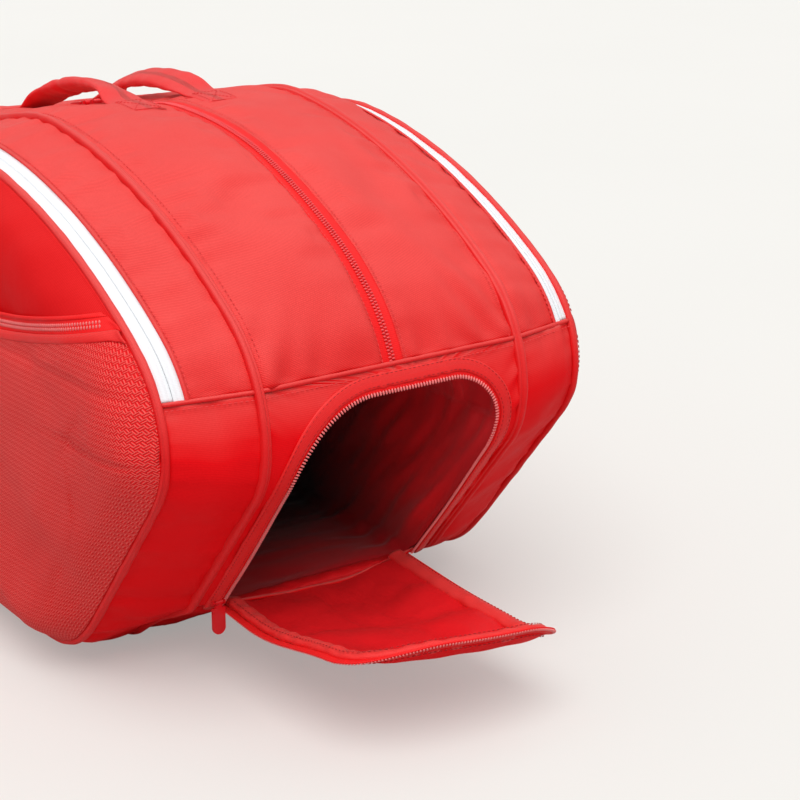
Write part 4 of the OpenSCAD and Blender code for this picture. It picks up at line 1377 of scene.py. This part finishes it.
def build_cross_seams():
    """The horizontal seams at both ends: a folded ridge with a row of topstitching below it."""
    bars = Bars()
    for end, direction in ((SEAM_S, 1), (SEAM_FAR, -1)):
        spans = [("middle", -PIPE_IN, PIPE_IN), ("front", -EDGE_Y, -PIPE_OUT), ("rear", PIPE_OUT, EDGE_Y)]
        for word, y0, y1 in spans:
            y = np.linspace(y0, y1, 60 if word == "middle" else 26)
            s = end + direction * 0.2 * MM + 0 * y
            centre, up = raised(s, y, 0.6 * MM)
            tangent = np.gradient(centre, axis=0)
            across = unit(np.cross(up, tangent))
            wobble = 1 + 0.05 * waves(y, y * 0, 9 * MM, 131)[:, None, None]
            where = "shoe_end" if direction > 0 else "far_end"
            obj = sweep(f"{where}_seam_{word}", centre, up, across,
                        rounded_section(2.0 * MM, 2.8 * MM, 12, 2.2)[None] * wobble, [M_PIPING])
            finish_piece(obj, "bag", "piping")
            line = end - direction * 4.2 * MM + 0 * y
            bars.stitches(*raised(line, y, 1.15 * MM if word == "middle" else 1.5 * MM))
    bars.make("cross_seam_stitches", M_THREAD, "bag", "piping")


for side, word in ((FRONT, "front"), (REAR, "rear")):
    build_inner_piping(side, word)
build_cross_seams()


# ---------------------------------------------------------------- zips over the top

def build_white_zips():
    for side, word in ((FRONT, "front"), (REAR, "rear")):
        width = ZIP_MID_Y - ZIP_Y
        k = np.linspace(0, width, 18)
        bead = 0.45 * MM * np.exp(-((k - width + 1.2 * MM) / (0.8 * MM)) ** 2)
        weft = 0.10 * MM * np.cos(2 * math.pi * k / (2.4 * MM))
        inner = points_of(ZIP_Y + k, -0.2 * MM + bead + weft)
        outer = points_of(EDGE_Y + 0.4 * MM
                          - k[::-1] * ((EDGE_Y + 0.4 * MM - ZIP_MID_Y - 0.25 * MM) / width),
                          (-0.2 * MM + bead + weft)[::-1])
        s0, s1 = TOP_RANGE
        for name, section, body, node in (("inner", inner, "bag", f"{word}_zip_inner_half"),
                                          ("outer", outer, f"{word}_lid", f"{word}_zip_outer_half")):
            s = np.linspace(s0 + (0 if name == "inner" else 2 * MM),
                            s1 - (0 if name == "inner" else 2 * MM), 360)[:, None]
            y = side * section[None, :, 0]
            out = section[None, :, 1] + 0.25 * MM * waves(s, y * 0, 60 * MM, 141)
            points = skin(s, y, out)
            _, _, nx, nz = outline(s)
            outward = points_of(nx, nx * 0, nz)
            obj = shell(f"{word}_zip_{name}_tape", points, points_of(s, y), 1.1 * MM, [M_WHITE], outward)
            finish_piece(obj, body, "zip_white", node)
        binding = Bars()
        run = np.linspace(s0 + 4 * MM, s1 - 4 * MM, 800)
        binding.stitches(*raised(run, side * (ZIP_Y - 2.4 * MM), 1.1 * MM))
        binding.make(f"{word}_zip_stitches", M_THREAD, "bag", "piping")
        hem_s = np.linspace(s0, s1, 420)
        hem, up = raised(hem_s, side * (ZIP_Y - 0.3 * MM), 0.6 * MM)
        across = unit(np.cross(np.gradient(hem, axis=0), up))
        obj = sweep(f"{word}_zip_hem", hem, up, across, rounded_section(1.6 * MM, 2.6 * MM, 10, 2.2),
                    [M_PIPING])
        finish_piece(obj, "bag", "piping")


def build_centre_zip():
    s0, s1 = TOP_RANGE
    s = np.linspace(s0, s1, 360)[:, None]
    k = np.linspace(-CENTRE_ZIP_HALF - 1.5 * MM, CENTRE_ZIP_HALF + 1.5 * MM, 15)[None]
    out = -1.7 * MM + 0.6 * MM * (np.abs(k) / CENTRE_ZIP_HALF) ** 2
    points = skin(s, k, out)
    _, _, nx, nz = outline(s)
    obj = shell("centre_zip_tape", points, points_of(s, k), 1.2 * MM, [M_TAPE], points_of(nx, nx * 0, nz))
    finish_piece(obj, "bag", "zip_red", "centre_zip")
    teeth = Bars()
    run = np.linspace(s0 + 1 * MM, s1 - 1 * MM, 900)
    for row, phase in ((-1, 0.0), (1, 1.05 * MM)):
        path, up = raised(run, row * 1.15 * MM, -0.9 * MM)
        index = along_path(path, 2.1 * MM, 1 * MM + phase)
        count = len(index)
        teeth.add(*bar_set(pick(path, index), repeated(REARWARD, count), pick(up, index), 2.5 * MM,
                           1.25 * MM, 1.35 * MM, 5, 8))
    teeth.make("centre_zip_teeth", M_COIL_RED, "bag", "zip_red")
    bars = Bars()
    for side in (FRONT, REAR):
        bars.stitches(*raised(run, side * (CENTRE_ZIP_HALF + 2.4 * MM), 1.1 * MM))
        bars.stitches(*raised(run, side * (PIPE_IN - 3.4 * MM), 1.0 * MM), pitch=3.6 * MM)
    bars.make("top_stitches", M_THREAD, "bag", "piping")


build_white_zips()
build_centre_zip()


# ---------------------------------------------------------------- shoe tunnel

def build_tunnel():
    box_low, box_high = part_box("shoe_tunnel")
    half, floor, roof, back = box_high.y - 1 * MM, box_low.z + 2 * MM, box_high.z - 2 * MM, box_low.x + 2 * MM
    front_r, rear_r = (radius - 3 * MM for radius in HOLE_R)
    foot_r = 9 * MM
    ring = []
    for cy, cz, r, start in ((half - rear_r, roof - rear_r, rear_r, 0),
                             (-half + front_r, roof - front_r, front_r, 90),
                             (-half + foot_r, floor + foot_r, foot_r, 180),
                             (half - foot_r, floor + foot_r, foot_r, 270)):
        for a in np.radians(np.linspace(start, start + 90, 12)):
            ring.append((cy + r * math.cos(a), cz + r * math.sin(a)))
    ring = np.array(ring + ring[:1])
    length = run_along(ring)
    stops = np.linspace(0, length[-1], 181)[:-1]
    y = np.interp(stops, length, ring[:, 0])
    z = np.interp(stops, length, ring[:, 1])
    cols = 60
    k = np.linspace(0, 1, cols)[None] ** 1.25
    mouth = end_skin(np.maximum(z, FOLD_Z), y, -2.2 * MM)[:, 0] - 0.2 * MM
    mouth = np.where(z < FOLD_Z, FOLD_X - 3 * MM, mouth)
    x = mouth[:, None] * (1 - k) + back * k
    run = stops[:, None]
    depth = mouth[:, None] - x
    wall = smooth((y[:, None] - 40 * MM) / (30 * MM))
    gather = 1.1 * MM * waves(run * 0.3, depth, 15 * MM, 151, 10) * smooth(depth / (6 * MM))
    sag = 3.0 * MM * (0.5 + 0.5 * waves(run, depth, 85 * MM, 152)) * smooth(depth / (16 * MM))
    inward = points_of(-(y / half) ** 5, -((z - (floor + roof) / 2) / ((roof - floor) / 2)) ** 5)
    inward = inward / np.maximum(np.linalg.norm(inward, axis=1, keepdims=True), 1e-9)
    shift = gather * (0.45 + 0.8 * wall) + sag
    yy = y[:, None] + inward[:, :1] * shift
    zz = z[:, None] + inward[:, 1:] * shift
    tube = points_of(x, yy, zz)
    cap_share = np.linspace(0, 1, 9)[1:] ** 0.8
    middle = np.array([back + 4 * MM, 0.0, (floor + roof) / 2])
    cap = tube[:, -1:, :] * (1 - cap_share[None, :, None]) + middle * cap_share[None, :, None]
    cap[..., 0] = back + 3 * MM * np.sin(math.pi * cap_share)[None]
    cap[:, -1] = tube[:, -1] * 0.02 + middle * 0.98
    points = np.concatenate([tube, cap], 1)
    uv = points_of(run, np.concatenate([depth, depth[:, -1:] + cap_share[None] * 80 * MM], 1))
    toward = points_of(np.zeros_like(points[..., 0]), -points[..., 1], (floor + roof) / 2 - points[..., 2])
    obj = shell("shoe_tunnel_cloth", points, uv, 1.2 * MM, [M_TUNNEL, M_DARK], toward, closed=True)
    finish_piece(obj, "bag", "lining_red", "shoe_tunnel")


build_tunnel()


# ---------------------------------------------------------------- handles

ANCHOR_L = 34 * MM
HANDLE_HALF = 74 * MM
HANDLE_RISE = 14 * MM
HANDLE_LEAN = math.radians(17)
HANDLE_X, HANDLE_Y, HANDLE_Z = JOINTS["rear_handle_swing"]["pos_m"]
SLOPE_COS, SLOPE_SIN = math.cos(TOP_SLOPE), math.sin(TOP_SLOPE)


def surface_z(x):
    """Height of the bag's top at x."""
    return np.interp(x, LOOP_P[TOP_SIDE, 0][::-1], LOOP_P[TOP_SIDE, 1][::-1])


def hinge_point(u, side, across, h):
    """A point u along a handle's hinge line, h above it and across it towards the bag's side."""
    return points_of(HANDLE_X + u * SLOPE_COS - h * SLOPE_SIN, side * (HANDLE_Y + across),
                      HANDLE_Z + u * SLOPE_SIN + h * SLOPE_COS)


def handle_path():
    """The handle's middle line, as distances along and above its hinge line, between its sewn ends."""
    radius = (HANDLE_HALF ** 2 + HANDLE_RISE ** 2) / (2 * HANDLE_RISE)
    lift = math.radians(15)
    phi = np.linspace(-lift, lift, 60)
    arch = points_of(radius * np.sin(phi), radius * np.cos(phi) - radius + HANDLE_RISE)
    end = HANDLE_HALF + ANCHOR_L - 3 * MM
    start = arch[0]
    slope = np.array([math.cos(-lift), -math.sin(-lift)])
    flat = np.array([-(HANDLE_HALF + 3 * MM), -0.6 * MM])
    t = np.linspace(0, 1, 26)[:-1, None]
    rise = ((1 - t) ** 3 * flat + 3 * (1 - t) ** 2 * t * (flat + (11 * MM, 0))
            + 3 * (1 - t) * t ** 2 * (start - slope * 9 * MM) + t ** 3 * start)
    foot = points_of(np.linspace(-end, flat[0], 16)[:-1], flat[1])
    left = np.concatenate([foot, rise])
    return np.concatenate([left, arch, left[::-1] * (-1, 1)])


def build_handle(side, word):
    u, h = handle_path().T
    grounded = 1 - smooth(h / (9 * MM))
    line = hinge_point(u, side, 0 * u, h * 0 - 3 * MM)
    drop = (line[:, 2] - surface_z(line[:, 0])) * grounded
    centre = hinge_point(u, side, -h * math.sin(HANDLE_LEAN), h * math.cos(HANDLE_LEAN))
    centre[:, 2] -= drop
    tangent = unit(np.gradient(centre, axis=0))
    lean = HANDLE_LEAN * (1 - grounded)
    across = points_of(-np.sin(lean) * SLOPE_SIN, side * np.cos(lean), np.sin(lean) * SLOPE_COS)
    up = np.cross(tangent, across)
    up = up / np.linalg.norm(up, axis=1, keepdims=True) * np.sign(np.sum(up[:, 2]))
    middle = smooth((h - 2 * MM) / (14 * MM))
    thick = 3.4 * MM + 5.4 * MM * middle
    wide = 27 * MM - 4.0 * MM * middle
    section = changing_section(thick, wide, 26, 2.7)
    run = run_along(centre)
    ripple = 0.35 * MM * waves(run, run * 0, 15 * MM, 161 + side)[:, None] * middle[:, None]
    section = section + np.sign(section) * ripple[..., None] * (1, 0.6)
    obj = sweep(f"{word}_handle_band", centre, up, across, section, [M_HANDLE])
    finish_piece(obj, None, "webbing_red", f"{word}_handle")
    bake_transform(obj)


def build_handle_patches():
    """The folded patches under the sewn ends, and the box stitching that holds each end down."""
    bars = Bars()
    for side in (FRONT, REAR):
        for end in (-1, 1):
            mid_x = HANDLE_X + end * (HANDLE_HALF + ANCHOR_L / 2) * SLOPE_COS
            reach = ANCHOR_L / 2 + 1 * MM
            px = np.linspace(mid_x - reach, mid_x + reach, 16)[:, None]
            py = np.linspace(-14.6, 14.6, 14)[None] * MM + side * HANDLE_Y
            edge = np.minimum(reach - np.abs(px - mid_x), 14.6 * MM - np.abs(py - side * HANDLE_Y))
            pz = surface_z(px) + 0.9 * MM + 1.2 * MM * smooth(edge / (2.5 * MM))
            points = points_of(px, py, pz)
            word = ("front" if side == FRONT else "rear") + ("_far" if end < 0 else "_near")
            obj = shell(f"handle_patch_{word}", points, points[..., :2], 1.4 * MM, [M_HANDLE], UP)
            finish_piece(obj, "bag", "webbing_red", *(["handle_anchors"] if word == "front_far" else []))
            a, b = 13.5 * MM, 10.0 * MM
            corners = [(-a, -b), (a, -b), (a, b), (-a, b), (-a, -b), (a, b), (a, -b), (-a, b)]
            for (x0, y0), (x1, y1) in zip(corners[:-1], corners[1:]):
                t = np.linspace(0, 1, 24)
                lx, ly = mid_x + x0 + (x1 - x0) * t, side * HANDLE_Y + y0 + (y1 - y0) * t
                lz = surface_z(lx) + 4.25 * MM
                bars.stitches(points_of(lx, ly, lz), repeated(UP, 24), pitch=2.7 * MM, length=2.1 * MM)
    bars.make("handle_box_stitches", M_THREAD, "bag", "webbing_red")


for side, word in ((FRONT, "front"), (REAR, "rear")):
    build_handle(side, word)
build_handle_patches()


# ---------------------------------------------------------------- carrying straps on the rear

def build_strap(word):
    pad_low, pad_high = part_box(f"{word}_strap_pad")
    mid_z, mid_y = (pad_low.z + pad_high.z) / 2, (pad_low.y + pad_high.y) / 2
    half, thick = (pad_high.z - pad_low.z) / 2, pad_high.y - pad_low.y
    x = np.concatenate([pad_low.x + half * (1 - np.cos(np.linspace(0.14, math.pi / 2, 26))),
                        np.linspace(pad_low.x + half, pad_high.x, 90)[1:]])
    from_round = np.minimum(x - pad_low.x, half)
    wide = np.sqrt(np.maximum(half ** 2 - (half - from_round) ** 2, 0)) - 1.0 * MM
    end = pad_high.x - x
    quilt = 1 - 0.24 * np.exp(-((np.mod(x + 8 * MM, 42 * MM) - 21 * MM) / (2.2 * MM)) ** 2)
    nose = smooth(np.minimum(x - pad_low.x, 16 * MM) / (16 * MM) * 0.85 + 0.15)
    deep = thick * nose * quilt * (0.6 + 0.4 * smooth(end / (14 * MM)))
    base = rounded_section(1.0, 1.0, 40, 2.5)
    section = base[None] * points_of(deep - 1.0 * MM, 2 * wide - 1.5 * MM)[:, None, :]
    ripple = 0.35 * MM * waves(x[:, None], base[None, :, 1] * half, 26 * MM, 171)
    section = section + points_of(np.sign(base[None, :, 0]) * ripple, 0 * ripple)
    centre = points_of(x, mid_y, mid_z)
    up = repeated(REARWARD, len(x))
    across = repeated(UP, len(x))
    obj = sweep(f"{word}_strap_padding", centre, up, across, section, [M_PAD])
    finish_piece(obj, f"{word}_strap", "strap_fabric", f"{word}_strap_pad")
    # Bound edge all round the pad
    edge_x = np.concatenate([x[::-1], x])
    edge_z = np.concatenate([mid_z + wide[::-1], mid_z - wide])
    rim = points_of(edge_x, mid_y, edge_z)
    tangent = np.gradient(rim, axis=0)
    side_dir = unit(np.cross(REARWARD, tangent))
    obj = sweep(f"{word}_strap_binding", rim, repeated(REARWARD, len(rim)), side_dir,
                rounded_section(6.0 * MM, 4.4 * MM, 14, 2.4), [M_PIPING])
    finish_piece(obj, f"{word}_strap", "piping")
    bars = Bars()
    for lift, sign in ((thick / 2 - 2.2 * MM, 1), (-thick / 2 + 2.2 * MM, -1)):
        share = 1 - 6.5 * MM / np.maximum(np.abs(edge_z - mid_z), 7 * MM)
        inner = points_of(edge_x, mid_y + lift, mid_z + (edge_z - mid_z) * share)
        bars.stitches(inner[20:-20], repeated((0.0, float(sign), 0.0), len(inner) - 40))
    bars.make(f"{word}_strap_stitches", M_THREAD_DARK, f"{word}_strap", "piping")
    # Neck of folded webbing from the pad's square end into the anchor patch
    anchor_low, anchor_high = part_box("strap_top_anchor")
    run = np.linspace(pad_high.x - 12 * MM, anchor_low.x + 8 * MM, 26)
    k = smooth((run - run[0]) / (run[-1] - run[0]))
    neck = points_of(run, mid_y + ((anchor_low.y + anchor_high.y) / 2 + 1 * MM - mid_y) * k, mid_z)
    section = changing_section(4.2 * MM, 46 * MM - 4 * MM * k, 22, 3.2)
    obj = sweep(f"{word}_strap_neck", neck, repeated(REARWARD, len(run)), repeated(UP, len(run)), section,
                [M_WEBBING])
    finish_piece(obj, None, "strap_webbing")
    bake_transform(obj)
    # Adjusting webbing, from the hook through the buckle and behind the pad
    web_low, web_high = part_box(f"{word}_strap_webbing")
    hook_x = web_low.x + 12 * MM
    web_y = (high("strap_d_rings").y + low("strap_d_rings").y) / 2 + 1 * MM
    run = np.linspace(hook_x + 6 * MM, web_high.x, 90)
    bow = 0.6 * MM * waves(run, run * 0, 60 * MM, 175)
    strip = points_of(run, web_y + bow, mid_z)
    flat = rounded_section(1.8 * MM, 25 * MM, 18, 4.0)
    obj = sweep(f"{word}_strap_tape", strip, repeated(REARWARD, len(run)), repeated(UP, len(run)), flat,
                [M_WEBBING])
    finish_piece(obj, f"{word}_strap_webbing", "strap_webbing", f"{word}_strap_webbing")
    turn = np.linspace(math.pi / 2, 3 * math.pi / 2, 20)
    loop_x = np.concatenate([np.linspace(hook_x + 30 * MM, hook_x + 6 * MM, 12),
                             hook_x + 6 * MM + 3.4 * MM * np.cos(turn), [hook_x + 8 * MM]])
    loop_y = np.concatenate([np.full(12, web_y + 2.6 * MM), web_y + 0.4 * MM + 2.2 * MM * np.sin(turn),
                             [web_y - 1.6 * MM]])
    loop = points_of(loop_x, loop_y, mid_z)
    tangent = np.gradient(loop, axis=0)
    up = unit(np.cross(tangent, UP))
    obj = sweep(f"{word}_strap_loop", loop, up, repeated(UP, len(loop)),
                rounded_section(1.6 * MM, 24.6 * MM, 18, 4.0), [M_WEBBING])
    finish_piece(obj, f"{word}_strap_webbing", "strap_webbing")
    bars = Bars()
    for x0, x1, dz in ((12, 28, -9), (12, 28, 9)):
        t = np.linspace(0, 1, 14)
        line = points_of(hook_x + (x0 + (x1 - x0) * t) * MM, web_y + 3.5 * MM,
                         mid_z + dz * MM + 0 * t)
        bars.stitches(line, repeated(REARWARD, 14), pitch=2.7 * MM, length=2.1 * MM)
    bars.make(f"{word}_strap_loop_stitches", M_THREAD, f"{word}_strap_webbing", "strap_webbing")
    build_hook(word, hook_x, web_y, mid_z)


def wire(name, path, radius, material):
    path = np.asarray(path, float)
    tangent = unit(np.gradient(path, axis=0))
    side_dir = np.cross(tangent, REARWARD)
    side_dir = side_dir / np.maximum(np.linalg.norm(side_dir, axis=1, keepdims=True), 1e-9)
    up = np.cross(side_dir, tangent)
    return sweep(name, path, up, side_dir, rounded_section(2 * radius, 2 * radius, 14, 2.0), [material])


def build_hook(word, x, y, z):
    """Snap hook: a frame that holds the webbing, a barrel, and a hook that reaches through the D-ring."""
    body = f"{word}_strap_webbing"
    t = np.linspace(0, 2 * math.pi, 60)
    c, s = np.cos(t), np.sin(t)
    frame_path = points_of(x + 4.2 * MM * np.sign(c) * np.abs(c) ** 0.5, y,
                           z + 14.2 * MM * np.sign(s) * np.abs(s) ** 0.5)
    finish_piece(wire(f"{word}_hook_frame", frame_path, 1.7 * MM, M_PLASTIC), body, "hard_black")
    t = np.linspace(0, 1, 14)
    swell = 3.2 * MM + 1.2 * MM * np.sin(math.pi * t)
    barrel = points_of(x - (4 + 7 * t) * MM, y, z)
    section = changing_section(swell * 1.2, swell * 1.7, 16, 2.2)
    obj = sweep(f"{word}_hook_barrel", barrel, repeated(REARWARD, 14), repeated(UP, 14), section,
                [M_PLASTIC])
    finish_piece(obj, body, "hard_black")
    turn = np.radians(np.linspace(20, 320, 44))
    curve = points_of(x - 15.5 * MM + 5.2 * MM * np.cos(turn), y, z + 6.2 * MM * np.sin(turn))
    finish_piece(wire(f"{word}_hook_claw", curve, 1.7 * MM, M_PLASTIC), body, "hard_black")


def build_strap_patches():
    box_low, box_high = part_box("strap_top_anchor")
    px = np.linspace(box_low.x, box_high.x, 18)[:, None]
    pz = np.linspace(box_low.z, box_high.z, 50)[None]
    edge = np.minimum(np.minimum(px - box_low.x, box_high.x - px),
                      np.minimum(pz - box_low.z, box_high.z - pz))
    py = box_high.y - 2.6 * MM + 2.6 * MM * smooth(edge / (4 * MM)) + 0.3 * MM * waves(px, pz, 30 * MM, 181)
    points = points_of(px, py, pz)
    obj = shell("strap_anchor_patch", points, points_of(px, pz), (py - box_low.y) * 0.98, [M_PAD],
                REARWARD)
    finish_piece(obj, "bag", "strap_fabric", "strap_top_anchor")
    bars = Bars()
    inset = 4.5 * MM
    corners = [(box_low.x + inset, box_low.z + inset), (box_high.x - inset, box_low.z + inset),
               (box_high.x - inset, box_high.z - inset), (box_low.x + inset, box_high.z - inset),
               (box_low.x + inset, box_low.z + inset)]
    for (x0, z0), (x1, z1) in zip(corners[:-1], corners[1:]):
        t = np.linspace(0, 1, 60)
        line = points_of(x0 + (x1 - x0) * t, box_high.y + 0.1 * MM, z0 + (z1 - z0) * t)
        bars.stitches(line, repeated(REARWARD, 60))
    # Tabs that hold the D-rings: webbing folded round the straight bar of each ring
    tab_low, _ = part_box("strap_lower_tabs")
    ring_x = low("strap_d_rings").x + 1.6 * MM
    ring_y = (low("strap_d_rings").y + high("strap_d_rings").y) / 2
    ring_low, ring_high = low("strap_d_rings").z, high("strap_d_rings").z
    for word, mid_z in (("lower", ring_low + 12 * MM), ("upper", ring_high - 12 * MM)):
        turn = np.linspace(-math.pi / 2, math.pi / 2, 18)
        x = np.concatenate([np.linspace(tab_low.x, ring_x, 12)[:-1], ring_x + 3.0 * MM * np.cos(turn),
                            np.linspace(ring_x, tab_low.x + 1 * MM, 12)[1:]])
        y = np.concatenate([np.full(11, ring_y - 2.5 * MM), ring_y + 2.6 * MM * np.sin(turn),
                            np.full(11, ring_y + 2.5 * MM)])
        loop = points_of(x, y, mid_z)
        tangent = np.gradient(loop, axis=0)
        up = unit(np.cross(tangent, UP))
        obj = sweep(f"{word}_ring_tab", loop, up, repeated(UP, len(loop)),
                    rounded_section(1.5 * MM, 19.5 * MM, 16, 4.0), [M_WEBBING])
        finish_piece(obj, "bag", "strap_webbing", *(["strap_lower_tabs"] if word == "lower" else []))
        for dz in (-7, 0, 7):
            t = np.linspace(0, 1, 16)
            line = points_of(tab_low.x + (3 + 20 * t) * MM, ring_y + 3.3 * MM,
                             mid_z + dz * MM + 0 * t)
            bars.stitches(line, repeated(REARWARD, 16), pitch=2.7 * MM, length=2.1 * MM)
    bars.make("strap_patch_stitches", M_THREAD_DARK, "bag", "piping")


for word in ("lower", "upper"):
    build_strap(word)
build_strap_patches()


# ---------------------------------------------------------------- hardware shown from the CAD

def dress(node, material, bevel=0.35 * MM, segments=3):
    obj = frame["nodes"][node]
    obj.data.materials.clear()
    obj.data.materials.append(material)
    for polygon in obj.data.polygons:
        polygon.material_index = 0
    rounding = obj.modifiers.new("rounded_edges", "BEVEL")
    rounding.width = bevel
    rounding.segments = segments
    rounding.limit_method = "ANGLE"
    rounding.angle_limit = math.radians(35)
    rounding.harden_normals = True


for node in frame["nodes"]:
    if "slider" in node or "pull" in node:
        dress(node, M_ENAMEL, 0.3 * MM)
for node in ("lower_strap_buckle", "upper_strap_buckle", "strap_d_rings"):
    dress(node, M_PLASTIC, 0.5 * MM)
dress("base_board", M_BOARD, 0.8 * MM)


# ---------------------------------------------------------------- floor, light and camera

FLOOR_HALF = 6.0
FLOOR_DROP = 0.4 * MM
FLOOR_DULL, FLOOR_BRIGHT = (0.49, 0.49, 0.48), (0.52, 0.52, 0.51)
FLOOR_SEEN = (0.91, 0.90, 0.875, 1.0)
FLOOR_GLOW = 0.36
SKY_LOW, SKY_HIGH = 0.45, 0.78
SKY_COLOUR = (1.0, 0.99, 0.97, 1.0)
KEY_FROM = (0.45, -0.32, 1.0)
KEY_ENERGY = 1.9
KEY_SPREAD = math.radians(50)
KEY_COLOUR = (1.0, 0.98, 0.95)
CAMERA_PLACE = (1295.2 * MM, -649.3 * MM, 570.0 * MM)
CAMERA_TARGET = (380.2 * MM, 0.0, 194.4 * MM)
CAMERA_SENSOR, CAMERA_LENS = 36, 90.5


def floor_material():
    """Pale floor that shows bright to the camera but throws back little colour."""
    g = Graph("studio_floor")
    cloud = g.noise(g.place(), 1.2, 3.0)
    seen = g.node("ShaderNodeLightPath").outputs["Is Camera Ray"]
    g.put("Base Color", g.mix(cloud, FLOOR_DULL, FLOOR_BRIGHT))
    g.put("Emission Color", FLOOR_SEEN)
    g.put("Emission Strength", g.times(seen, FLOOR_GLOW))
    g.put("Roughness", 0.7)
    g.put("Specular IOR Level", 0.2)
    return g.material


def build_stage():
    rows = 40
    k = np.linspace(-1, 1, rows)
    px, py = np.meshgrid(k * FLOOR_HALF, k * FLOOR_HALF, indexing="ij")
    points = points_of(px, py, -FLOOR_DROP).reshape(-1, 3)
    floor = make_object("studio_floor", points, grid_faces(rows, rows), [floor_material()])


def build_light():
    """Even daylight, stronger from overhead, and one broad key from above the front."""
    world = bpy.data.worlds.new("studio")
    bpy.context.scene.world = world
    world.use_nodes = True
    tree = world.node_tree
    coord, split, spread = (tree.nodes.new(f"ShaderNode{kind}")
                            for kind in ("TexCoord", "SeparateXYZ", "MapRange"))
    for socket, value in (("From Min", 0.0), ("From Max", 1.0), ("To Min", SKY_LOW), ("To Max", SKY_HIGH)):
        spread.inputs[socket].default_value = value
    background = tree.nodes["Background"]
    background.inputs["Color"].default_value = SKY_COLOUR
    tree.links.new(coord.outputs["Generated"], split.inputs["Vector"])
    tree.links.new(split.outputs["Z"], spread.inputs["Value"])
    tree.links.new(spread.outputs["Result"], background.inputs["Strength"])
    data = bpy.data.lights.new("key", "SUN")
    data.energy = KEY_ENERGY
    data.angle = KEY_SPREAD
    data.color = KEY_COLOUR
    key = bpy.data.objects.new("key", data)
    bpy.context.scene.collection.objects.link(key)
    key.rotation_euler = (-Vector(KEY_FROM)).to_track_quat("-Z", "Y").to_euler()


def build_camera():
    data = bpy.data.cameras.new("photo_angle")
    data.sensor_width = CAMERA_SENSOR
    data.lens = CAMERA_LENS
    data.clip_start, data.clip_end = 0.05, 30
    camera = bpy.data.objects.new("photo_angle", data)
    bpy.context.scene.collection.objects.link(camera)
    camera.location = CAMERA_PLACE
    camera.rotation_euler = (Vector(CAMERA_TARGET) - Vector(CAMERA_PLACE)).to_track_quat("-Z", "Y").to_euler()
    bpy.context.scene.camera = camera


build_stage()
build_light()
build_camera()
bpy.context.scene.view_settings.view_transform = "Standard"
